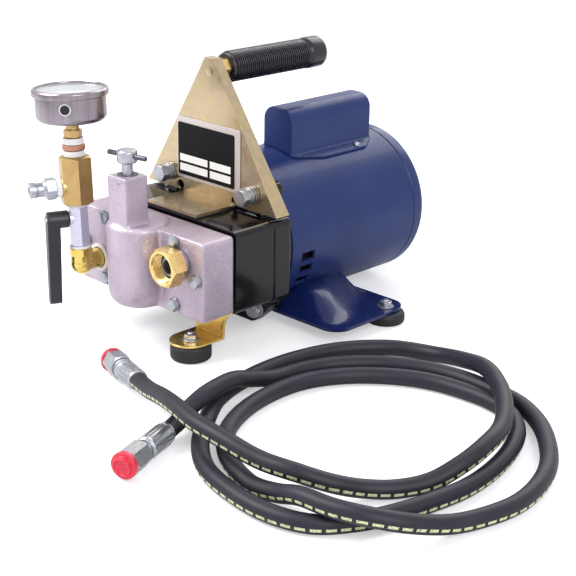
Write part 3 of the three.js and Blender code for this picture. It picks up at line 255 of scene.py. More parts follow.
copper = turnedBrass("lacqueredCopper", "#a06a56", "#cf9f8a", 0.34)
footRubber = mouldedPolymer("nitrileRubber", "#0e0d12", "#1a191e", 0.6, 0.9)
gripRubber = mouldedPolymer("gripRubber", "#100d14", "#1c1822", 0.24, 0.8)
blackNylon = mouldedPolymer("glassFilledNylon", "#1b1a20", "#292830", 0.38, 0.6)
gasketRubber = mouldedPolymer("gasketRubber", "#17161a", "#222026", 0.7, 0.8)
redPolythene = mouldedPolymer("redPolythene", "#c8183a", "#e2304a", 0.36, 1.6, 0.1, 0.2)
sealTape = mouldedPolymer("threadSealTape", "#dcdadc", "#f6f5f6", 0.55, 0.7, 0.2)
hoseCover = wrappedHoseCover("wrappedHoseCover", "#17161e", "#2a2935", layline)
dialEnamel = plainFace("dialEnamel", "#f4f2ee", 0.35)
plateBlack = plainFace("anodisedPlate", "#08070a", 0.5, 0.15)
plateSilver = platedSteel("etchedPanel", ("#b8aca8", "#c6bcb8", "#d4ccc8"), (20, 2), (0.3, 0.42), 0.5)
inkBlack = plainFace("dialInk", "#18181c", 0.5)
plateWhite = plainFace("printedPanel", "#f4f3f0", 0.4)
glass = clearWindow("clearWindow")
print("materials made")

# Mesh helpers


def toObject(name, bm, turnOut=True):
    bmesh.ops.remove_doubles(bm, verts=bm.verts, dist=1e-7)
    if turnOut:
        bmesh.ops.recalc_face_normals(bm, faces=bm.faces)
    mesh = bpy.data.meshes.new(name)
    bm.to_mesh(mesh)
    bm.free()
    return linked(name, mesh)


def smoothed(piece, angle=32):
    piece.data.shade_smooth()
    piece.data.set_sharp_from_angle(angle=math.radians(angle))
    return piece


def addModifier(piece, kind, **settings):
    modifier = piece.modifiers.new(kind.lower(), kind)
    for key, value in settings.items():
        setattr(modifier, key, value)
    return modifier


def softenEdges(piece, width, segments=2, angle=32):
    addModifier(piece, "BEVEL", width=width * mm, segments=segments, limit_method="ANGLE",
                angle_limit=math.radians(angle), harden_normals=True)
    return piece


def applyModifiers(piece):
    graph = bpy.context.evaluated_depsgraph_get()
    graph.update()
    mesh = bpy.data.meshes.new_from_object(piece.evaluated_get(graph))
    piece.modifiers.clear()
    piece.data = mesh
    return piece


def melted(piece, voxel, passes):
    # Remeshes and relaxes a solid, which rounds it as a casting or a pressing is rounded
    addModifier(piece, "REMESH", mode="VOXEL", voxel_size=voxel * mm, use_smooth_shade=True)
    addModifier(piece, "SMOOTH", factor=0.5, iterations=passes)
    applyModifiers(piece)
    piece.data.shade_smooth()
    return piece


def combine(piece, operation, *tools):
    for tool in tools:
        addModifier(piece, "BOOLEAN", operation=operation, solver="EXACT", object=tool)
    applyModifiers(piece)
    for tool in tools:
        bpy.data.objects.remove(tool)
    return piece


def settle(piece, material, slotName, replaced=(), body="pump"):
    if material:
        piece.data.materials.clear()
        piece.data.materials.append(material)
    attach(piece, body)
    if replaced:
        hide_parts(*replaced)
    return piece


def pointing(direction):
    return Vector((0, 0, 1)).rotation_difference(Vector(direction).normalized()).to_matrix().to_4x4()


def standing(origin, direction=(0, 0, 1)):
    return Matrix.Translation(place(*origin)) @ pointing(direction)


def raised(height):
    return Matrix.Translation((0, 0, height * mm))


def turned(degrees, axis="Z"):
    return Matrix.Rotation(math.radians(degrees), 4, axis)


def loft(bm, rings, matrix, looped=False):
    # Rings are lists of points in millimetres, one point for a closed end
    made = [[bm.verts.new(matrix @ (Vector(point) * mm)) for point in ring] for ring in rings]
    pairs = list(zip(made, made[1:])) + ([(made[-1], made[0])] if looped else [])
    for low, high in pairs:
        for k in range(max(len(low), len(high))):
            after = k + 1
            corners = [low[k % len(low)], low[after % len(low)], high[after % len(high)], high[k % len(high)]]
            distinct = list(dict.fromkeys(corners))
            if len(distinct) > 2:
                bm.faces.new(distinct)


def rounded(profile, radius, steps=3):
    # Rounds the corners between straight runs of an open profile
    points = [Vector(point) for point in profile]
    result = [tuple(points[0])]
    for before, corner, after in zip(points, points[1:], points[2:]):
        toBefore, toAfter = before - corner, after - corner
        reach = min(radius, toBefore.length * 0.45, toAfter.length * 0.45)
        if reach < 1e-4:
            result.append(tuple(corner))
            continue
        start, end = corner + toBefore.normalized() * reach, corner + toAfter.normalized() * reach
        for k in range(steps + 1):
            t = k / steps
            result.append(tuple(start * (1 - t) ** 2 + corner * 2 * t * (1 - t) + end * t ** 2))
    result.append(tuple(points[-1]))
    return result


def closed(profile, radius=0.0):
    return (rounded(profile, radius) if radius else list(profile)) + [profile[0]]


def rod(radius, low, high):
    return [(0, low), (radius, low), (radius, high), (0, high)]


def pipe(inner, outer, low, high, radius=0.0):
    return closed([(inner, low), (outer, low), (outer, high), (inner, high)], radius)


def lathe(bm, profile, matrix, sides=64, wave=None):
    # Turns a profile of (radius, height) about Z; it starts and ends on the axis or at one point
    looped = profile[0] == profile[-1] and profile[0][0] > 0
    turns = [2 * math.pi * k / sides for k in range(sides)]
    rings = []
    for radius, height in profile[:-1] if looped else profile:
        if radius <= 0:
            rings.append([(0, 0, height)])
            continue
        out = [radius * (wave(turn, radius) if wave else 1) for turn in turns]
        rings.append([(r * math.cos(turn), r * math.sin(turn), height) for r, turn in zip(out, turns)])
    loft(bm, rings, matrix, looped)


def hexagonal(bm, half, bottom, top, matrix, bore=0.0, relief=0.96, sides=60):
    # A hexagon with its corners chamfered on both ends, round a bore where one is given
    flat = half * relief
    turns = [2 * math.pi * k / sides for k in range(sides)]
    outline = [half / math.cos(turn % (math.pi / 3) - math.pi / 6) for turn in turns]
    drop = [max(0.0, reach - flat) * math.tan(math.radians(30)) for reach in outline]

    def circle(radius, height):
        return [(radius * math.cos(turn), radius * math.sin(turn), height) for turn in turns]

    low = [(r * math.cos(turn), r * math.sin(turn), bottom + d) for r, turn, d in zip(outline, turns, drop)]
    high = [(r * math.cos(turn), r * math.sin(turn), top - d) for r, turn, d in zip(outline, turns, drop)]
    skin = [circle(flat, bottom), low, high, circle(flat, top)]
    if bore:
        loft(bm, [circle(bore, bottom)] + skin + [circle(bore, top)], matrix, looped=True)
    else:
        loft(bm, [[(0, 0, bottom)]] + skin + [[(0, 0, top)]], matrix)


def block(bm, low, high, matrix=None):
    middle = (Vector(low) + Vector(high)) / 2
    size = Vector(high) - Vector(low)
    for vert in bmesh.ops.create_cube(bm, size=1.0)["verts"]:
        spot = Vector([middle[i] + vert.co[i] * size[i] for i in range(3)])
        vert.co = matrix @ (spot * mm) if matrix else place(*spot)


def assembled(name, *shapes, angle=30):
    # One mesh of several shapes, each given as a maker of shapes and what it takes
    bm = bmesh.new()
    for make, *given in shapes:
        make(bm, *given)
    return smoothed(toObject(name, bm), angle)


def turnedPiece(name, profile, matrix, sides=64, wave=None, angle=32):
    return assembled(name, (lathe, profile, matrix, sides, wave), angle=angle)


def lathed(name, profile, matrix, sides, *finish, wave=None, angle=32):
    # A turned piece on its own; the finish is what settle takes
    return settle(turnedPiece(name, profile, matrix, sides, wave, angle), *finish)


def flattened(mesh, name):
    # A merged copy of a mesh, with its flat faces whole
    bm = bmesh.new()
    bm.from_mesh(mesh)
    bmesh.ops.remove_doubles(bm, verts=bm.verts, dist=1e-6)
    bmesh.ops.dissolve_limit(bm, angle_limit=math.radians(0.5), verts=bm.verts, edges=bm.edges)
    return toObject(name, bm, turnOut=False)


def dressed(node, name, material, slotName, bevel, segments=2, angle=35, body="pump"):
    piece = softenEdges(smoothed(flattened(nodes[node].data, name), angle), bevel, segments, angle)
    return settle(piece, material, slotName, (node,), body)


def recast(node, name, material, slotName, voxel, passes):
    return settle(melted(flattened(nodes[node].data, name), voxel, passes), material, slotName, (node,))


def catmullRom(points, spacing):
    # Centripetal curve through the points, read at even steps along its length
    points = [Vector(point) for point in points]
    whole = [points[0] * 2 - points[1]] + points + [points[-1] * 2 - points[-2]]
    dense = []
    for a, b, c, d in zip(whole, whole[1:], whole[2:], whole[3:]):
        gaps = [max((q - p).length, 1e-6) ** 0.5 for p, q in ((a, b), (b, c), (c, d))]
        start = ((b - a) / gaps[0] - (c - a) / (gaps[0] + gaps[1]) + (c - b) / gaps[1]) * gaps[1]
        end = ((c - b) / gaps[1] - (d - b) / (gaps[1] + gaps[2]) + (d - c) / gaps[2]) * gaps[1]
        for k in range(40):
            t = k / 40
            dense.append(b + start * t + (b * -3 + c * 3 - start * 2 - end) * t ** 2
                         + (b * 2 - c * 2 + start + end) * t ** 3)
    dense.append(points[-1])
    lengths = [0.0]
    for p, q in zip(dense, dense[1:]):
        lengths.append(lengths[-1] + (q - p).length)
    count = round(lengths[-1] / spacing)
    result, j = [], 0
    for i in range(count + 1):
        want = lengths[-1] * i / count
        while j < len(lengths) - 2 and lengths[j + 1] < want:
            j += 1
        share = (want - lengths[j]) / max(lengths[j + 1] - lengths[j], 1e-9)
        result.append(dense[j].lerp(dense[j + 1], share))
    return result, lengths[-1]


def sweep(name, points, radius, sides, length):
    # A closed tube; its UV map holds metres along it and the share of a turn round it
    bm = bmesh.new()
    layer = bm.loops.layers.uv.new("along")
    last = len(points) - 1
    turns = [2 * math.pi * k / sides for k in range(sides)]
    rings = []
    for i, point in enumerate(points):
        tangent = (points[min(i + 1, last)] - points[max(i - 1, 0)]).normalized()
        side = tangent.cross(Vector((0, 0, 1))).normalized()
        up = side.cross(tangent)
        rings.append([bm.verts.new(place(*(point + radius * (math.cos(turn) * side + math.sin(turn) * up))))
                      for turn in turns])
    step = length / last * mm
    for i, (low, high) in enumerate(zip(rings, rings[1:])):
        for k in range(sides):
            face = bm.faces.new([low[k], low[(k + 1) % sides], high[(k + 1) % sides], high[k]])
            spots = [(i, k), (i, k + 1), (i + 1, k + 1), (i + 1, k)]
            for loop, (along, turn) in zip(face.loops, spots):
                loop[layer].uv = (along * step, turn / sides)
    for ring in (rings[0], rings[-1]):
        bm.faces.new(ring)
    return smoothed(toObject(name, bm), 40)


# Geometry Nodes: one tree sets an item at the points of a mesh, one sets it round an axis or along it


def newTree(name, sockets):
    tree = bpy.data.node_groups.new(name, "GeometryNodeTree")
    tree.interface.new_socket("Geometry", in_out="INPUT", socket_type="NodeSocketGeometry")
    for label, kind in sockets:
        tree.interface.new_socket(label, in_out="INPUT", socket_type=kind)
    tree.interface.new_socket("Geometry", in_out="OUTPUT", socket_type="NodeSocketGeometry")
    return tree, addNode(tree, "NodeGroupInput").outputs


def endTree(tree, given, inputs):
    item = addNode(tree, "GeometryNodeObjectInfo", {"Object": given["Item"]})
    placed = addNode(tree, "GeometryNodeInstanceOnPoints", {"Instance": item.outputs["Geometry"], **inputs})
    whole = addNode(tree, "GeometryNodeRealizeInstances", {0: placed.outputs[0]})
    painted = addNode(tree, "GeometryNodeSetMaterial", {
        "Geometry": whole.outputs[0], "Material": given["Material"]})
    addNode(tree, "NodeGroupOutput", {0: painted.outputs[0]})
    return tree


def pointTree():
    tree, given = newTree("itemsAtPoints", [("Item", "NodeSocketObject"), ("Material", "NodeSocketMaterial")])
    return endTree(tree, given, {"Points": given["Geometry"]})


def turnTree():
    # Each copy is turned by its number times the turn and moved along Z by its number times the pitch
    tree, given = newTree("itemsRoundAxis", [
        ("Item", "NodeSocketObject"), ("Material", "NodeSocketMaterial"), ("Count", "NodeSocketInt"),
        ("Turn", "NodeSocketFloat"), ("Pitch", "NodeSocketFloat")])
    number = addNode(tree, "GeometryNodeInputIndex").outputs[0]
    angle, rise = [addNode(tree, "ShaderNodeCombineXYZ", {
        "Z": compute(tree, "MULTIPLY", number, given[key])}).outputs[0] for key in ("Turn", "Pitch")]
    points = addNode(tree, "GeometryNodePoints", {"Count": given["Count"], "Position": rise})
    return endTree(tree, given, {"Points": points.outputs[0], "Rotation": angle})


atPoints = pointTree()
roundAxis = turnTree()


def grown(name, tree, item, material, matrix=None, points=(), **values):
    # Bakes a Geometry Nodes result to a mesh with its place in the mesh
    mesh = bpy.data.meshes.new(name)
    mesh.from_pydata([Vector(point) for point in points], [], [])
    piece = linked(name, mesh)
    modifier = addModifier(piece, "NODES", node_group=tree)
    given = {"Item": item, "Material": material, **values}
    for socket in tree.interface.items_tree:
        if socket.in_out == "INPUT" and socket.name in given:
            modifier[socket.identifier] = given[socket.name]
    applyModifiers(piece)
    if matrix:
        piece.data.transform(matrix)
    bpy.data.objects.remove(item)
    return piece


print("helpers ready")

# Floor and light
studio = {"radius": 1.2, "centre": (0.1, 0, -0.0004), "glow": 0.42, "patches": 1000 / 3, "world": 0.42,
          "aim": (0, 0, 0.1)}
# Each lamp: its place and width in metres and its power
lamps = {"key": ((-0.9, -1.0, 1.5), 1.1, 42.0), "fill": ((1.7, -0.7, 1.2), 1.2, 22.0),
         "back": ((-0.4, 1.5, 1.4), 1.4, 16.0)}


def palePaper(name, look):
    # Seamless paper: flat and matt; the camera sees it as almost white, and it keeps the shadow
    material, tree, where = startMaterial(name)
    seen = addNode(tree, "ShaderNodeLightPath").outputs["Is Camera Ray"]
    lift = addNode(tree, "ShaderNodeEmission", {
        "Color": toLinear("#ffffff"), "Strength": compute(tree, "MULTIPLY", seen, look["glow"])})
    paper = addNode(tree, "ShaderNodeBsdfDiffuse", {
        "Color": blend(tree, noise(tree, where, look["patches"], 2.0), "#eeeff1", "#f4f4f6")})
    return endMaterial(material, tree, {0: paper.outputs[0], 1: lift.outputs[0]}, "ShaderNodeAddShader")


def makeStudio(look):
    bm = bmesh.new()
    bmesh.ops.create_circle(bm, cap_ends=True, segments=128, radius=look["radius"],
                            matrix=Matrix.Translation(look["centre"]))
    floor = toObject("floor", bm)
    floor.data.materials.append(palePaper("palePaper", look))
    for name, (spot, size, power) in lamps.items():
        data = bpy.data.lights.new(name, "AREA")
        data.energy, data.size, data.shape = power, size, "SQUARE"
        away = pointing(Vector(spot) - Vector(look["aim"]))
        linked(name, data).matrix_world = Matrix.Translation(spot) @ away
    world = bpy.data.worlds.new("studio")
    world.use_nodes = True
    tree = world.node_tree
    tree.nodes.clear()
    # The camera, the glass and the reflections see white; the rest of the light is dimmer
    path = addNode(tree, "ShaderNodeLightPath").outputs
    direct = compute(tree, "MAXIMUM", path["Is Camera Ray"], path["Is Transmission Ray"])
    seen = compute(tree, "MAXIMUM", direct, path["Is Glossy Ray"])
    light = addNode(tree, "ShaderNodeBackground", {"Color": toLinear("#f3f4f8"), "Strength": look["world"]})
    white = addNode(tree, "ShaderNodeBackground", {"Color": (1, 1, 1, 1), "Strength": 1.0})
    mixed = addNode(tree, "ShaderNodeMixShader", {0: seen, 1: light.outputs[0], 2: white.outputs[0]})
    addNode(tree, "ShaderNodeOutputWorld", {"Surface": mixed.outputs[0]})
    bpy.context.scene.world = world
    bpy.context.scene.view_settings.view_transform = "Standard"


makeStudio(studio)
print("studio made")

# Pressure hose, lying in loose turns, with a crimped fitting and a red cap on each end
hoseSizes = {"radius": 6.8, "step": 3.0, "sides": 28, "lowest": 6.85, "ferrule": 8.8, "ferruleLength": 34.0,
             "neck": 3.0, "neckRadius": 7.0, "nutHalf": 9.0, "nutTurn": 14.0, "nutLength": 20.0, "plug": 8.0,
             "capRadius": 10.1, "capRim": 4.2, "capDome": 7.5, "capLength": 8.0, "flutes": 16, "gap": 0.3}
hoseRoute = [
    (87.5, -75.3, 17), (110, -83, 19.5), (135, -91.5, 25), (161, -101, 29.5), (191, -109, 30),
    (222, -110, 28), (254, -106, 23), (281, -99, 21.5), (300, -84, 15), (312, -66, 9), (326, -47, 7),
    (338, -25, 9), (346, -2, 17), (346, 24, 22), (337, 55, 22), (319, 84, 22), (294, 112, 22),
    (265, 133, 22), (233, 146, 15), (200, 151, 8), (165, 137, 7), (138, 102, 7), (125, 57, 7), (125, 9, 7),
    (137, -36, 7), (159, -69, 7), (184, -98, 7), (216, -121, 7), (254, -131, 7), (290, -132, 7),
    (318, -122, 7), (336, -99, 7), (347, -72, 7), (354, -43, 7), (358, -12, 7), (355, 22, 7), (345, 58, 7),
    (330, 86, 7), (309, 105, 7), (286, 112, 7), (258, 112, 7), (229, 106, 7), (202, 91, 7), (177, 66, 7),
    (162, 36, 7), (159, 2, 7), (166, -36, 7), (182, -69, 7), (202, -90, 7), (226, -105, 7), (254, -114, 7),
    (280, -116, 12), (303, -118, 20), (330, -117, 22), (353, -109, 22), (371, -88, 16), (382, -58, 8),
    (391, -31, 7), (395, -4, 7), (391, 24, 7), (380, 53, 7), (361, 81, 7), (334, 108, 7), (304, 125, 7),
    (272, 130, 7), (243, 130, 7), (212, 123, 7), (183, 107, 7), (158, 80, 7), (144, 48, 7), (141, 20, 8),
    (142, -5, 15), (144, -28, 22), (147, -48, 23), (150, -64, 22.2), (152, -79, 18), (154, -93, 11.6),
    (156, -101, 10.2), (158.5, -108, 10.2)]


def makeHose(sizes):
    points, length = catmullRom(hoseRoute, sizes["step"])
    for point in points:
        point.z = max(point.z, sizes["lowest"])
    tube = sweep("pressureHose", points, sizes["radius"], sizes["sides"], length)
    hose = settle(tube, hoseCover, "hose_rubber", ("hose",))
    ends = []
    for letter, point, before in (("A", points[0], points[1]), ("B", points[-1], points[-2])):
        ends += makeHoseEnd(letter, point, point - before, sizes)
    tuple(place(*points[0]))
    [place(*point) for point in points]


def makeHoseEnd(letter, origin, direction, sizes):
    matrix = standing(tuple(origin), direction)
    ferrule, length, neck = sizes["ferrule"], sizes["ferruleLength"], sizes["neckRadius"]
    nutStart = length + sizes["neck"]
    nutEnd = nutStart + sizes["nutLength"]
    node = "hose_end_" + letter.lower()
    sleeve = rounded([
        (0, 0.3), (ferrule - 0.9, 0.3), (ferrule - 0.3, 3.2), (ferrule - 0.9, 4.4), (ferrule - 0.9, 26.5),
        (ferrule, 27.5), (ferrule, 30.5), (ferrule - 1.3, 31.2), (ferrule - 1.3, 32.4), (ferrule - 0.2, 33),
        (ferrule - 0.2, length), (neck, length), (neck, nutStart + 0.5), (0, nutStart + 0.5)], 0.5)
    body = assembled("ferruleBody" + letter, (lathe, sleeve, matrix, 64), (
        hexagonal, sizes["nutHalf"], nutStart, nutEnd, matrix @ turned(sizes["nutTurn"]), neck))
    ridge = bmesh.new()
    block(ridge, (ferrule - 1.6, -0.75, 4.6), (ferrule - 0.02, 0.75, 26.0), Matrix.Identity(4))
    bmesh.ops.bevel(ridge, geom=ridge.edges[:], offset=0.45 * mm, segments=2, affect="EDGES", profile=0.5)
    flutes = grown("ferruleFlutes" + letter, roundAxis, smoothed(toObject("flute", ridge)), whiteZinc, matrix,
                   Count=sizes["flutes"], Turn=2 * math.pi / sizes["flutes"], Pitch=0.0)
    settle(body, whiteZinc, "zinc_plate", (node,))
    settle(flutes, None, "zinc_plate", (node,))
    rim, dome, inner = sizes["capRadius"], sizes["capDome"], neck - 0.4
    plug, start, top = nutEnd - sizes["plug"], nutEnd + sizes["gap"], nutEnd + sizes["capLength"]
    cap = lathed("dustCap" + letter, rounded([
        (0, plug), (inner, plug), (inner, start), (rim, start), (rim, start + sizes["capRim"]),
        (dome, start + sizes["capRim"]), (dome - 0.5, top), (dome - 2.2, top), (dome - 2.6, top - 1.6),
        (1.6, top - 1.6), (1.2, top - 0.6), (0, top - 0.6)], 0.7), matrix, 72,
        redPolythene, "red_plastic", ("cap_" + letter.lower(),), "cap_" + letter.lower())
    return [body, flutes, cap]


makeHose(hoseSizes)
print("hose made")

# Pump head: sand casting with two cylinder lobes, the bulge and the relief tower
headSizes = {"boltX": 44.2, "boltZ": (103.5, 48.5), "outerX": 71.7, "boltHalf": 5.0, "washer": 6.2,
             "washerTop": 1.3, "boltTop": 4.8, "towerY": -10.7, "hole": (2.5, -22.5, 147), "holeRadius": 0.9}


def makeHead(sizes):
    recast("pump_head", "headCasting", castAluminium, "cast_aluminium", 1.15, 7)
    # A thin dark steel ring on the tower's top is painted shade for the recess round the relief screw; a dark
    # disc on the tower's front is painted shade for a small hole
    lathed("towerRing", closed([(5.2, 152.3), (8.6, 152.3), (8.4, 153.0), (5.4, 153.0)]),
           standing((0, sizes["towerY"], 0)), 48, darkSteelAndShade, "machined_steel")
    lathed("towerHole", rod(sizes["holeRadius"], -0.6, 0.12), standing(sizes["hole"], (0, -1, 0)), 24,
           darkSteelAndShade, "machined_steel")
    spots = [(sign * sizes["boltX"], z) for sign in (-1, 1) for z in sizes["boltZ"]]
    spots += [(sign * sizes["outerX"], axisHeight) for sign in (-1, 1)]
    ahead = pointing((0, -1, 0))
    washer = rounded(rod(sizes["washer"], 0.3, sizes["washerTop"]), 0.25)
    bolt = assembled("headBolt", (lathe, washer, ahead, 40),
                     (hexagonal, sizes["boltHalf"], sizes["washerTop"], sizes["boltTop"], ahead), angle=32)
    bolts = grown("headBolts", atPoints, bolt, whiteZinc, None, [place(x, 0, z) for x, z in spots])
    replaced = ["head_bolt_%s_%s" % (side, spot)
                for side in ("left", "right") for spot in ("top", "outer", "bottom")]
    settle(bolts, None, "zinc_plate", replaced)


makeHead(headSizes)
dressed("seal_plate", "sealPlate", gasketRubber, "rubber", 0.3)
dressed("crankcase", "crankcaseBox", blackEnamel, "black_paint", 1.6, 3)
recast("adapter", "adapterCasting", blackEnamel, "black_paint", 1.3, 4)
print("head and case made")

# Relief screw with its cross pin
reliefSizes = {"axisY": headSizes["towerY"], "stem": 4.7, "knob": 8.5, "knobLow": 162.5,
               "knobHigh": 173.5, "pin": 2.2, "pinHalf": 20.0, "pinZ": 168.5, "pinTurn": 10.0,
               "threadLow": 136.5, "turns": 16}


def makeReliefScrew(sizes):
    stem, knob, low, high = sizes["stem"], sizes["knob"], sizes["knobLow"], sizes["knobHigh"]
    thread = []
    for k in range(sizes["turns"]):
        thread += [(stem - 0.45, sizes["threadLow"] + k), (stem, sizes["threadLow"] + 0.5 + k)]
    profile = [(0, 136)] + thread + [(stem - 0.2, 153.5)] + rounded([
        (stem - 0.2, 154), (stem - 0.2, low), (knob - 1.2, low), (knob, low + 1.4), (knob, high - 1.6),
        (knob - 1.5, high), (0, high)], 0.7)
    role = ("machined_steel", ("relief_screw",), "relief_screw")
    lathed("reliefKnob", profile, standing((0, sizes["axisY"], 0)), 64, satinSteel, *role, angle=40)
    turn = math.radians(sizes["pinTurn"])
    along = (math.cos(turn), math.sin(turn), 0)
    lathed("reliefCrossPin", rounded(rod(sizes["pin"], -sizes["pinHalf"], sizes["pinHalf"]), 0.8),
           standing((0, sizes["axisY"], sizes["pinZ"]), along), 40, darkSteelAndShade, *role)


makeReliefScrew(reliefSizes)

# Motor: shell with vent slots, end bells, capacitor cover
motorAxis = standing((0, 0, axisHeight), (0, 1, 0))
motorSizes = {"radius": 70.7, "wall": 2.5, "front": 112.0, "back": 275.4, "slotLow": 124.0, "slotHigh": 140.0,
              "slotHalf": 3.25, "slotAngles": (-8, -18.4, -28.8, -39.2), "step": 3.0, "edgeGap": 1.2,
              "bellRim": 9.0, "bellDome": 20.0, "bellWall": 4.0, "boss": (18.3, 22), "bossLength": 13.0}


def makeShell(sizes):
    # Angles run round the shell from its right side; slots leave a window between two of them
    outer, inner = sizes["radius"], sizes["radius"] - sizes["wall"]
    windows = [((middle - sizes["slotHalf"]) % 360, (middle + sizes["slotHalf"]) % 360)
               for angle in sizes["slotAngles"] for middle in (angle, 180 - angle)]
    edges = sorted({round(edge, 4) for window in windows for edge in window})
    spare = [k * sizes["step"] for k in range(120)]
    turns = sorted(edges + [a for a in spare if all(abs(a - edge) > sizes["edgeGap"] for edge in edges)])
    count = len(turns)
    stations = [(sizes["front"], 0), (sizes["front"] + 0.8, 0), (sizes["slotLow"], 0), (sizes["slotHigh"], 0),
                (170, 0), (200, 0), (230, 0), (sizes["back"] - 0.8, 0), (sizes["back"], -0.5)]
    bm = bmesh.new()

    def ring(radius, y):
        return [bm.verts.new(place(radius * math.cos(turn), y, axisHeight + radius * math.sin(turn)))
                for turn in map(math.radians, turns)]

    outside = [ring(outer + drop, y) for y, drop in stations]
    inside = [ring(inner, y) for y, drop in stations]

    def isOpen(i, k):
        middle = (turns[k] + (turns[(k + 1) % count] - turns[k]) % 360 / 2) % 360
        return stations[i][0] == sizes["slotLow"] and any(low < middle < high for low, high in windows)

    def wall(first, second):
        (i, k), (j, m) = first, second
        bm.faces.new([outside[i][k], outside[j][m], inside[j][m], inside[i][k]])

    last = len(stations) - 1
    for i in range(last):
        for k in range(count):
            after = (k + 1) % count
            if isOpen(i, k):
                wall((i, k), (i, after))
                wall((i + 1, k), (i + 1, after))
                for edge, beside in ((k, (k - 1) % count), (after, after)):
                    if not isOpen(i, beside):
                        wall((i, edge), (i + 1, edge))
                continue
            for skin in (outside, inside):
                bm.faces.new([skin[i][k], skin[i][after], skin[i + 1][after], skin[i + 1][k]])
    for i in (0, last):
        for k in range(count):
            wall((i, k), (i, (k + 1) % count))
    settle(smoothed(toObject("ventedShell", bm), 28), navyEnamel, "navy_paint", ("motor_shell",))


def makeRearBell(sizes):
    outer, wall, dome = sizes["radius"], sizes["bellWall"], sizes["bellDome"]
    front = sizes["back"] + 0.3
    rim = front + sizes["bellRim"]
    angles = [math.radians(6 * k) for k in range(15)]
    skin = [(outer * math.cos(a), rim + dome * math.sin(a)) for a in angles]
    core = [((outer - wall) * math.cos(a), rim + (dome - wall) * math.sin(a)) for a in angles[:12]]
    # Inside, a short round boss holds the bearing
    inner, boss = sizes["boss"]
    profile = [(outer - 0.6, front), (outer, front + 0.8)] + skin + [
        (0, rim + dome), (0, rim + dome - wall), (inner, rim + dome - wall), (inner, rim), (boss, rim),
        (boss, rim + sizes["bossLength"])]
    profile += [point for point in reversed(core) if point[0] > boss + 5]
    profile += [(outer - wall, front), (outer - 0.6, front)]
    lathed("rearBell", profile, motorAxis, 120, navyEnamel, "navy_paint", ("rear_end_bell",), angle=25)


makeShell(motorSizes)
makeRearBell(motorSizes)
recast("front_end_bell", "frontBell", blackEnamel, "black_paint", 1.2, 3)

coverSizes = {"x": 9.0, "half": 17.5, "top": 184.5, "foot": 118.0, "front": 153.0, "back": 258.0,
              "round": 13.0, "wall": 2.0, "screwTurn": 26.6, "screwY": 233.0, "screwRadius": 3.2,
              "skirtRadius": 73.0, "shellRoom": 71.0,
              "skirt": ((18.5, 153.5), (21, 160), (27.5, 187), (27.5, 243), (19, 257.5))}


def makeCapacitorCover(sizes):
    shift = Matrix.Translation(place(0, 0, 0))

    def prism(name, outline, low, high, middle, point):
        # The outline between two levels; point makes a place of an outline's pair and a level
        rings = [[point(pair, level) for pair in outline] for level in (low, high)]
        bm = bmesh.new()
        loft(bm, [[point(middle, low)], rings[0], rings[1], [point(middle, high)]], shift)
        return toObject(name, bm)

    def hood(name, gap):
        half, top, corner = sizes["half"] - gap, sizes["top"] - gap, sizes["round"] - gap
        outline = [(sizes["x"] - half, sizes["foot"])]
        for centre, start in ((-1, 180), (1, 90)):
            for turn in [math.radians(start - 7.5 * k) for k in range(13)]:
                x = sizes["x"] + centre * (half - corner) + corner * math.cos(turn)
                outline.append((x, top - corner + corner * math.sin(turn)))
        outline.append((sizes["x"] + half, sizes["foot"]))
        return prism(name, outline, sizes["front"] + gap, sizes["back"] - gap,
                     (sizes["x"], (sizes["foot"] + top) / 2), lambda pair, y: (pair[0], y, pair[1]))

    def drum(name, radius):
        return turnedPiece(name, rod(radius, 140, 270), motorAxis, 160)

    right = [(sizes["x"] + x, y) for x, y in sizes["skirt"]]
    left = [(2 * sizes["x"] - x, y) for x, y in reversed(right)]
    zone = prism("skirtZone", right + left, 110, 151, (sizes["x"], 205), lambda pair, z: (*pair, z))
    skirt = combine(drum("coverSkirt", sizes["skirtRadius"]), "INTERSECT", zone)
    cover = combine(hood("capacitorCoverPressing", 0.0), "UNION", skirt)
    combine(cover, "DIFFERENCE", hood("hoodHollow", sizes["wall"]), drum("shellRoom", sizes["shellRoom"]))
    settle(melted(cover, 1.0, 4), navyEnamel, "navy_paint", ("capacitor_cover",))
    turn = math.radians(sizes["screwTurn"])
    out = standing((0, sizes["screwY"], axisHeight), (math.sin(turn), 0, math.cos(turn)))
    radius, low = sizes["screwRadius"], sizes["skirtRadius"] + 0.1
    pan = [(0, low), (radius, low), (radius, low + 1.2), (radius - 1.4, low + 2.0), (0, low + 2.0)]
    screw = turnedPiece("coverScrew", rounded(pan, 0.4), out, 32, angle=30)
    slot = assembled("screwSlot", (block, (-radius - 1, -0.45, low + 1.2), (radius + 1, 0.45, low + 4), out))
    settle(smoothed(combine(screw, "DIFFERENCE", slot), 30), whiteZinc, "zinc_plate")


makeCapacitorCover(coverSizes)
print("motor made")

# Base wings, feet and the front foot bracket
wingSizes = {"front": 116.0, "back": 212.0, "outer": 120.6, "inner": 42.0, "corner": 17.0, "low": 10.6,
             "sheet": 3.0, "rise": 23.5, "shell": 71.1, "slope": 46.0, "edge": 114.0, "edgeDrop": 28.0,
             "dropStart": 138.0, "dropRun": 60.0, "rampFront": 17.0, "rampBack": 18.0, "steps": 56}


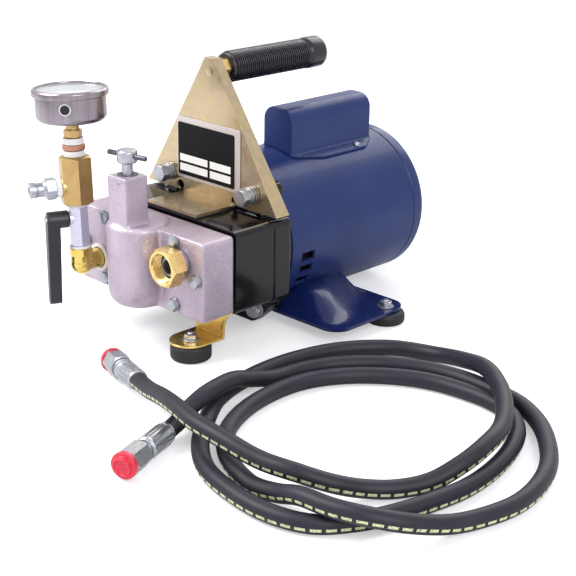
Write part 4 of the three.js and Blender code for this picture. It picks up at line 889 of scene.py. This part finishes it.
def makeBaseWing(side, sign, sizes):
    # A pressed plate with one soft hump that climbs to the shell and leaves the foot's corner flat
    front, back, low, sheet, steps = (sizes[key] for key in ("front", "back", "low", "sheet", "steps"))

    def ease(share):
        share = min(max(share, 0.0), 1.0)
        return share * share * (3 - 2 * share)

    def height(x, y):
        edge = sizes["edge"] - sizes["edgeDrop"] * ease((y - sizes["dropStart"]) / sizes["dropRun"])
        ends = ease((y - front - 1) / sizes["rampFront"]) * ease((back - 2 - y) / sizes["rampBack"])
        return low + sizes["rise"] * ends * ease((edge - x) / sizes["slope"])

    def innerEdge(y):
        x = sizes["inner"]
        while x * x + (axisHeight - height(x, y) - sheet) ** 2 < sizes["shell"] ** 2:
            x += 0.25
        return x

    def outerEdge(y):
        corner = sizes["corner"]
        away = max(front + corner - y, y - back + corner, 0.0)
        return sizes["outer"] - corner + math.sqrt(corner ** 2 - away ** 2)

    bm = bmesh.new()
    skins = []
    for thick in (0.0, sheet):
        grid = []
        for j in range(steps + 1):
            y = front + (back - front) * (1 - math.cos(math.pi * j / steps)) / 2
            start, end = innerEdge(y), outerEdge(y)
            row = [start + (end - start) * i / steps for i in range(steps + 1)]
            grid.append([bm.verts.new(place(sign * x, y, height(x, y) + thick)) for x in row])
        skins.append(grid)
    for grid in skins:
        for j in range(steps):
            for i in range(steps):
                bm.faces.new([grid[j][i], grid[j][i + 1], grid[j + 1][i + 1], grid[j + 1][i]])
    under, over = skins
    onward, homeward = range(steps), range(steps, 0, -1)
    rim = [(0, i) for i in onward] + [(j, steps) for j in onward]
    rim += [(steps, i) for i in homeward] + [(j, 0) for j in homeward]
    for (j, i), (n, m) in zip(rim, rim[1:] + rim[:1]):
        bm.faces.new([under[j][i], under[n][m], over[n][m], over[j][i]])
    wing = softenEdges(smoothed(toObject("baseWing" + side, bm), 50), 0.7, 2, 50)
    settle(wing, deepBlueEnamel, "blue_paint", ("motor_base_" + side.lower(),))


makeBaseWing("Left", -1, wingSizes)
makeBaseWing("Right", 1, wingSizes)

footSizes = {"radius": 17.5, "stud": 3.0, "studRise": 7.0, "washer": 7.4, "washerRise": 1.4, "nutHalf": 5.0,
             "nutHeight": 4.0}


def makeFoot(node, name, x, y, height, sheetTop, sizes):
    radius, stud, top = sizes["radius"], sizes["stud"], sheetTop + sizes["studRise"]
    foot = standing((x, y, 0))
    lathed(name + "Rubber", rounded([
        (0, 0.8), (5.5, 0.8), (7, 0), (radius - 1.5, 0), (radius, 1.8), (radius, height - 2.4),
        (radius - 1.6, height), (0, height)], 1.0), foot, 72, footRubber, "rubber", (node,))
    rise = sheetTop + sizes["washerRise"]
    nutTop = rise + sizes["nutHeight"]
    thread = [(0, height - 0.2), (stud - 0.1, height - 0.2)]
    thread += [(stud - 0.35 * (k % 2), nutTop + 0.3 * k) for k in range(4)] + [(stud - 0.7, top), (0, top)]
    nut = assembled(
        name + "Nut", (lathe, pipe(stud + 0.2, sizes["washer"], sheetTop + 0.1, rise - 0.1, 0.25), foot, 40),
        (hexagonal, sizes["nutHalf"], rise, nutTop, foot, stud + 0.1), (lathe, thread, foot, 28))
    settle(nut, whiteZinc, "zinc_plate", (node,))


makeFoot("rear_foot_right", "rearFootRight", 109.3, 193, 10.3, 13.6, footSizes)
makeFoot("rear_foot_left", "rearFootLeft", -109.3, 193, 10.3, 13.6, footSizes)
makeFoot("front_foot", "frontFoot", 51, 11.3, 13.7, 16.0, footSizes)
dressed("front_foot_bracket", "footBracket", goldZinc, "yellow_zinc", 0.6, 2)
print("base and feet made")

# Handle bracket with its plate, bolts, stud nut and grip
bracketSizes = {"notches": ((-38, 118), (32, 118)), "notch": 4.6, "plate": (-39, 32, 128.8, 175.5),
                "frame": (-41, 39, 126, 181),
                "boxes": ((-36.5, -1, 141.2, 147.5), (2, 28, 141.2, 147.5), (-36.5, -1, 132.5, 139),
                          (2, 28, 132.5, 139)),
                "pad": ((-31, 35.6, 111.05), (31, 79, 112.15)), "boltX": 51.8, "boltZ": 127.8, "lowZ": 24.2,
                "boltHalf": 7.0, "boltHead": 6.4, "shank": 4.4, "shankBack": -107, "sheetFace": -79.25,
                "washers": ((1.6, 8.0), (1.8, 6.6), (1.6, 8.0), (2.2, 7.0))}


def makeHandleBracket(sizes):
    blank = flattened(nodes["handle_bracket"].data, "sheetBlank")
    tools = [turnedPiece("notchTool", rod(sizes["notch"], 75, 86), standing((x, 0, z), (0, 1, 0)), 32)
             for x, z in sizes["notches"]]
    sheet = flattened(combine(blank, "DIFFERENCE", *tools).data, "handleSheet")
    bpy.data.objects.remove(blank)
    settle(softenEdges(smoothed(sheet, 35), 1.0, 4, 35), yellowZinc, "yellow_zinc", ("handle_bracket",))


def makeNameplate(sizes):
    def plate(name, corners, front, back, material):
        left, right, low, high = corners
        bm = bmesh.new()
        block(bm, (left, front, low), (right, back, high))
        upright = [edge for edge in bm.edges if abs(edge.verts[0].co.y - edge.verts[1].co.y) > 1e-6]
        bmesh.ops.bevel(bm, geom=upright, offset=1.6 * mm, segments=5, affect="EDGES", profile=0.5)
        settle(softenEdges(toObject(name, bm), 0.12, 2), material, "label_plate", ("nameplate",))

    plate("plateFrame", sizes["frame"], 78.75, 79.25, plateSilver)
    plate("blankPlate", sizes["plate"], 78.1, 78.7, plateBlack)
    bm = bmesh.new()
    for left, right, low, high in sizes["boxes"]:
        block(bm, (left, 77.98, low), (right, 78.11, high))
    settle(toObject("plateBoxes", bm), plateWhite, "label_plate", ("nameplate",))
    # Black pad under the bracket's tab, on the crankcase
    bm = bmesh.new()
    block(bm, *sizes["pad"])
    settle(softenEdges(toObject("tabPad", bm), 0.2, 2), gasketRubber, "rubber")


def makeBracketBolts(sizes):
    # Each upper bolt stands on its washers, given as thickness and radius from the sheet outwards
    half, shank, back = sizes["boltHalf"], sizes["shank"], sizes["shankBack"]
    for side, sign in (("left", -1), ("right", 1)):
        foot = standing((sign * sizes["boltX"], 0, sizes["boltZ"]), (0, -1, 0))
        level, washers = sizes["sheetFace"], []
        for thick, radius in sizes["washers"]:
            washers.append((lathe, pipe(4.7, radius, level, level + thick - 0.06, 0.3), foot, 48))
            level += thick
        bolt = assembled(
            "bracketBolt" + side.capitalize(), *washers,
            (hexagonal, half, level, level + sizes["boltHead"], foot),
            (lathe, rod(shank, back, level + 1), foot, 24))
        settle(bolt, whiteZinc, "zinc_plate", ("bracket_bolt_" + side,))
        foot = standing((sign * sizes["boltX"], 0, sizes["lowZ"]), (0, -1, 0))
        bolt = assembled(
            "adapterBolt" + side.capitalize(), (lathe, rounded(rod(8, -87.7, -85.9), 0.3), foot, 48),
            (hexagonal, half, -85.8, -79.9, foot), (lathe, rod(shank, back, -87), foot, 24))
        settle(bolt, whiteZinc, "zinc_plate", ("adapter_bolt_" + side,))


gripSizes = {"z": 226.0, "front": 98.0, "endStart": 193.0, "back": 213.8, "bore": 5.4, "core": 12.1,
             "radius": 13.4, "end": 14.0, "ribPitch": 2.45, "ribCount": 36, "ribStart": 5.0, "nutHalf": 8.0,
             "nutFront": 88.9}


def makeGrip(sizes):
    foot = standing((0, 0, sizes["z"]), (0, 1, 0))
    core, end, bore, rib = sizes["core"], sizes["end"], sizes["bore"], sizes["radius"]
    front, endStart, back = sizes["front"], sizes["endStart"], sizes["back"]
    lathed("mouldedGrip", closed([
        (bore, front), (core - 0.6, front), (core + 0.3, front + 1.4), (core, front + 3),
        (core, endStart - 2), (end, endStart + 1.5), (end, back - 4), (end - 4, back), (0, back),
        (0, endStart + 0.6), (bore, endStart + 0.6)], 1.2), foot, 96, gripRubber, "rubber", ("handle_grip",))
    half = sizes["ribPitch"] * 0.32
    ridge = turnedPiece("rib", closed([
        (core - 0.5, -half), (rib - 0.35, -half * 0.75), (rib, -half * 0.2), (rib, half * 0.2),
        (rib - 0.35, half * 0.75), (core - 0.5, half)]), Matrix.Identity(4), 72, angle=50)
    ribs = grown("gripRibs", roundAxis, ridge, gripRubber, foot @ raised(front + sizes["ribStart"]),
                 Count=sizes["ribCount"], Turn=0.0, Pitch=sizes["ribPitch"] * mm)
    settle(ribs, None, "rubber", ("handle_grip",))
    nut = assembled("handleStudNut", (hexagonal, sizes["nutHalf"], sizes["nutFront"], front - 0.3, foot, 5.1),
                    (lathe, rod(4.9, 82.2, 192.8), foot, 32))
    settle(nut, brass, "brass", ("handle_stud",))
    lathed("studFace", rounded(rod(5.25, 79.65, 82.1), 0.2), foot, 48, yellowZinc, "brass", ("handle_stud",))


makeHandleBracket(bracketSizes)
makeNameplate(bracketSizes)
makeBracketBolts(bracketSizes)
makeGrip(gripSizes)
print("handle made")

# Inlet: the adapter's nose with its washer, and the threaded swivel nut
inletSizes = {"x": 51.0, "z": 86.0, "nutHalf": 14.6, "nutBack": 5.3, "nutFront": 20.0, "bore": 12.56,
              "pitch": 1.6, "threads": 6}


def makeInlet(sizes):
    foot = standing((sizes["x"], 0, sizes["z"]), (0, -1, 0))
    lathed("inletStem", closed([
        (6, -9.2), (9, -9.2), (9, 0.3), (11.6, 0.3), (12.5, 1.0), (12.5, 4.2), (11.8, 5.0), (7, 5.0),
        (7, 8.6), (8.3, 8.6), (8.3, 11.8), (7.9, 12.6), (6, 12.6)]),
        foot, 72, whiteZinc, "zinc_plate", ("inlet_adapter",))
    lathed("inletWasher", pipe(8.5, 11.0, 8.6, 10.2, 0.4), foot, 64, footRubber, "rubber", ("inlet_adapter",))
    bore, back, front = sizes["bore"], sizes["nutBack"], sizes["nutFront"]
    mouth = [(bore, front), (12.5, front), (11.9, 19.2)]
    for k in range(sizes["threads"]):
        mouth += [(11.2, 18.4 - k * sizes["pitch"]), (12.35, 17.6 - k * sizes["pitch"])]
    inner = closed(mouth + [(12.3, 8.4), (7.6, 8.4), (7.6, back), (bore, back)])
    nut = assembled("swivelNut", (hexagonal, sizes["nutHalf"], back, front, foot, bore - 0.01, 0.985),
                    (lathe, inner, foot, 72))
    settle(nut, brass, "brass", ("inlet_swivel_nut",), "swivel_nut")


makeInlet(inletSizes)

# Gauge stack, leaning, with its facets turned towards the front left
stackSizes = {"port": (-54, 0, 65), "reach": 20.0, "lean": -2.7, "facets": -25.0, "knee": 9.6,
              "valveHalf": 7.4, "valveLow": 15.7, "valveHigh": 50.0, "leverZ": 39.5, "leverStart": 8.6,
              "hub": 18.6, "hubRadius": 7.5, "leverLean": -2, "leverLength": 74.0, "teeHalf": 12.5,
              "teeLow": 52.5, "teeHigh": 93.0, "branchZ": 67.0}
port = Matrix.Translation(place(*stackSizes["port"])) @ turned(stackSizes["lean"], "Y")
portAhead = port @ pointing((0, -1, 0))
stackFrame = port @ Matrix.Translation((0, -stackSizes["reach"] * mm, 0))
facing = stackFrame @ turned(stackSizes["facets"])


def sideways(height):
    # A frame across the stack at a height, its Z out through the front facet
    return facing @ turned(90, "X") @ Matrix.Translation((0, height * mm, 0))


def taped(name, profile, matrix, sides=40, angle=32):
    lathed(name, profile, matrix, sides, sealTape, "dial_white", angle=angle)


def makeElbow(sizes):
    bm = bmesh.new()
    lathe(bm, rod(8.6, -20, -0.6), port @ pointing((0, 1, 0)), 48)
    bmesh.ops.create_uvsphere(bm, u_segments=48, v_segments=24, radius=sizes["knee"] * mm,
                              matrix=stackFrame @ raised(-1.0))
    lathe(bm, rod(9.2, -3, 9), stackFrame, 48)
    settle(melted(toObject("brassElbow", bm), 0.6, 4), brightBrass, "brass", ("outlet_elbow",))
    collar = assembled("elbowCollar", (hexagonal, 9.2, 6.5, 13.4, facing, 6.3, 0.985),
                       (lathe, pipe(3, 5.9, -9.2, -0.2), portAhead, 32))
    settle(collar, brightBrass, "brass", ("outlet_elbow",))
    taped("portWasher", pipe(9.4, 12.2, 0.15, 1.9, 0.4), portAhead, 48)


def makeValve(sizes):
    bar = assembled(
        "valveBar",
        (hexagonal, sizes["valveHalf"], sizes["valveLow"], sizes["valveHigh"], facing, 6.3, 0.985),
        (lathe, pipe(3.4, 6, 0, 8.3, 0.4), sideways(sizes["leverZ"]), 40),
        (lathe, pipe(3, 6, 9.3, 15.6), stackFrame, 32), angle=25)
    settle(bar, sparkleZinc, "zinc_plate", ("valve_body",))
    taped("valveTape", closed([(6.4, 13.5), (9.0, 13.5), (9.4, 14.4), (9.0, 15.6), (6.4, 15.6)]), stackFrame)


def makeLever(sizes):
    hub = sideways(sizes["leverZ"])
    near, far = sizes["leverStart"], sizes["leverStart"] + sizes["hub"]
    bm = bmesh.new()
    block(bm, (-6.6, -5.6, -sizes["leverLength"]), (6.6, 5.6, 0), Matrix.Identity(4))
    tip = [vert for vert in bm.verts if vert.co.z < -0.03]
    for vert in tip:
        vert.co.x *= 4 / 6
        vert.co.y *= 0.92
    edges = [edge for edge in bm.edges if all(vert in tip for vert in edge.verts)
             and abs(edge.verts[0].co.x - edge.verts[1].co.x) < 1e-6]
    bmesh.ops.bevel(bm, geom=edges, offset=3.6 * mm, segments=5, affect="EDGES", profile=0.5)
    hinge = facing @ Matrix.Translation((0, (5 - far) * mm, sizes["leverZ"] * mm))
    swing = hinge @ turned(sizes["leverLean"], "X")
    bmesh.ops.transform(bm, matrix=swing, verts=bm.verts)
    boss = turnedPiece("lever", rounded(rod(sizes["hubRadius"], near, far), 1.0), hub, 48)
    whole = melted(combine(boss, "UNION", toObject("leverArm", bm)), 0.6, 4)
    settle(whole, blackNylon, "black_plastic", ("valve_lever",), "valve_handle")
    lathed("leverScrew", rounded([
        (0, far - 1.5), (3.6, far - 1.5), (3.6, far + 1.7), (1.9, far + 1.7), (1.9, far + 0.5),
        (0, far + 0.5)], 0.3), hub, 32, satinSteel, "black_plastic", (), "valve_handle", angle=30)


def makeTee(sizes):
    branch = sideways(sizes["branchZ"])
    tee = assembled(
        "forgedTee", (hexagonal, sizes["teeHalf"], sizes["teeLow"], sizes["teeHigh"], facing, 6.4, 0.97),
        (lathe, closed([(6.4, 4), (9.2, 4), (9.2, 12.6), (8.6, 13.2), (6.4, 13.2)], 0.4), branch, 48),
        (lathe, pipe(3, 6, 44.3, 58), stackFrame, 32), angle=28)
    settle(tee, forgedBrass, "brass", ("brass_tee",))
    taped("teeTape", closed([(6.4, 50.4), (9.6, 50.4), (10.2, 51.0), (10.0, 52.2), (6.4, 52.2)]), stackFrame)
    taped("branchTape", closed([(6.5, 13.25), (8.0, 13.25), (8.3, 13.8), (8.0, 17.5), (6.5, 17.5)]), branch)
    flare = closed([(3, 26), (7.6, 26), (6.2, 28.5), (6.2, 33), (6.8, 35), (6.8, 40), (3, 40)], 0.5)
    fitting = assembled("flareFitting", (hexagonal, 8.5, 17.6, 26.4, branch, 3.2, 0.95),
                        (lathe, flare, branch, 48))
    settle(fitting, whiteZinc, "zinc_plate", ("hose_fitting",))


def makeBushing():
    def knurl(turn, radius):
        return 1 + (0.02 * math.cos(turn * 28) if radius > 9 else 0)

    lathed("gaugeBushing", closed([
        (6.2, 93.3), (7.4, 93.3), (7.4, 98.6), (9.3, 99.0), (9.5, 99.5), (9.5, 102.8), (9.2, 103.2),
        (7.5, 103.5), (7.5, 109), (6.2, 109)], 0.3),
        stackFrame, 168, copper, "brass", ("gauge_bushing",), wave=knurl)
    for name, low, high, radius in (("lowerTape", 93.5, 98.2, 9.0), ("upperTape", 103.8, 108.9, 8.8)):
        wraps = [(radius - 0.18 * (k % 2), low + (high - low) * k / 4) for k in range(5)]
        taped(name, closed([(7.6, low)] + wraps + [(7.6, high)]), stackFrame, 48, 60)


gaugeSizes = {"low": 123.0, "radius": 29.5, "depth": 25.0, "bezel": 32.0, "dial": 142.0, "ticks": 51,
              "sweep": 270.0, "numbers": 6, "numberRadius": 18.2, "numberSize": 5.2,
              "plugTurn": -46, "plugZ": 137.5}


def makeGauge(sizes):
    low, radius, high = sizes["low"], sizes["radius"], sizes["low"] + sizes["depth"]
    lathed("gaugeCase", rounded([
        (0, low - 0.02), (13, low), (14.2, low + 0.7), (radius - 3, low + 0.7), (radius, low + 4),
        (radius, high), (radius - 1.5, high), (radius - 1.5, low + 2.4), (0, low + 2.4)], 1.2),
        stackFrame, 120, stainless, "zinc_plate", ("gauge_case",), angle=30)
    neck = closed([(3.1, 103.5), (5.9, 103.5), (5.9, 116), (5.5, 117), (5.5, 122.9), (3.1, 122.9)], 0.3)
    stem = assembled("gaugeStem", (hexagonal, 6.8, 109.3, 116.0, stackFrame, 3.0),
                     (lathe, neck, stackFrame, 40))
    settle(stem, forgedBrass, "zinc_plate", ("gauge_case",))
    seat, rim, lip = high - 3, sizes["bezel"], radius + 0.3
    lathed("gaugeBezel", closed([
        (lip, seat), (rim - 0.4, seat), (rim, seat + 0.6), (rim, seat + 4.6), (rim - 1.4, seat + 6),
        (28.6, seat + 6), (28.3, seat + 5.2), (28.3, high + 2.1), (lip, high + 2.1)], 0.5),
        stackFrame, 120, stainless, "zinc_plate", ("gauge_bezel",))
    dial, face = sizes["dial"], sizes["dial"] + 1.0
    lathed("gaugeDial", pipe(1.3, 27.7, dial, face), stackFrame, 96, dialEnamel, "dial_white",
           ("gauge_dial",))
    makeDialMarks(face, sizes)
    lathed("gaugeWindow", rounded(rod(29.2, high + 0.3, high + 1.8), 0.2), stackFrame, 96,
           glass, "clear_glass", ("gauge_lens",))
    turn = math.radians(sizes["plugTurn"])
    out = stackFrame @ raised(sizes["plugZ"]) @ pointing((math.cos(turn), math.sin(turn), 0))
    lathed("reliefPlug", rounded([(0, 28.6), (3.9, 28.6), (3.9, 30.6), (0, 31.0)], 0.4), out, 32,
           gasketRubber, "rubber")
    taped("plugRing", pipe(4.0, 4.9, 28.6, 30.1, 0.3), out, 32)


def makeDialMarks(face, sizes):
    tick = bmesh.new()
    block(tick, (22.4, -0.16, 0), (24.6, 0.16, 0.06), Matrix.Identity(4))
    ticks = grown("dialTicks", roundAxis, toObject("tick", tick), inkBlack,
                  facing @ raised(face) @ turned(-sizes["sweep"] / 2), Count=sizes["ticks"], Pitch=0.0,
                  Turn=math.radians(sizes["sweep"]) / (sizes["ticks"] - 1))
    settle(ticks, None, "dial_white", ("gauge_dial",))
    last = sizes["numbers"] - 1
    for k in range(sizes["numbers"]):
        name = "dialNumber%d" % (k * 20)
        data = bpy.data.curves.new(name, "FONT")
        data.body, data.size, data.extrude = str(k * 20), sizes["numberSize"] * mm, 0.03 * mm
        data.align_x, data.align_y = "CENTER", "CENTER"
        text = linked(name, data)
        mesh = bpy.data.meshes.new_from_object(text.evaluated_get(bpy.context.evaluated_depsgraph_get()))
        bpy.data.objects.remove(text)
        turn = math.radians(sizes["sweep"] * ((last - k) / last - 0.5))
        reach = sizes["numberRadius"]
        spot = Vector((reach * math.cos(turn), reach * math.sin(turn), face + 0.04)) * mm
        mesh.transform(facing @ Matrix.Translation(spot) @ turned(-90))
        settle(linked(name, mesh), inkBlack, "dial_white", ("gauge_dial",))


makeElbow(stackSizes)
makeValve(stackSizes)
makeLever(stackSizes)
makeTee(stackSizes)
makeBushing()
makeGauge(gaugeSizes)
print("gauge stack made")

# Hidden parts keep their CAD shapes, but for the plungers' softer edges and the wound spring
for side in ("left", "right"):
    dressed("plunger_" + side, "plunger" + side.capitalize(), satinSteel, "machined_steel", 1.8, 3,
            body="plunger_" + side)
inside = {satinSteel: ("rocker", "rotor_core", "motor_shaft", "front_bearing", "rear_bearing", "valve_ball"),
          darkSteelAndShade: ("stator",), blackNylon: ("cooling_fan", "start_capacitor"),
          brass: ("relief_spring_seat",), inkBlack: ("gauge_needle",)}
for material, names in inside.items():
    for name in names:
        for slotEntry in nodes[name].material_slots:
            slotEntry.material = material

springSizes = {"turns": 7, "radius": 4.2, "wire": 0.9, "low": 108.9, "high": 130.1, "steps": 24}


def makeReliefSpring(sizes):
    turns, radius, low, steps = sizes["turns"], sizes["radius"], sizes["low"], sizes["steps"]
    points = []
    for k in range(turns * steps + 1):
        angle = 2 * math.pi * k / steps
        points.append(Vector((radius * math.cos(angle), reliefSizes["axisY"] + radius * math.sin(angle),
                              low + (sizes["high"] - low) * k / (turns * steps))))
    spring = sweep("reliefSpringWire", points, sizes["wire"], 10, 2 * math.pi * radius * turns)
    settle(spring, satinSteel, "machined_steel", ("relief_spring",))


makeReliefSpring(springSizes)
print("inside made")
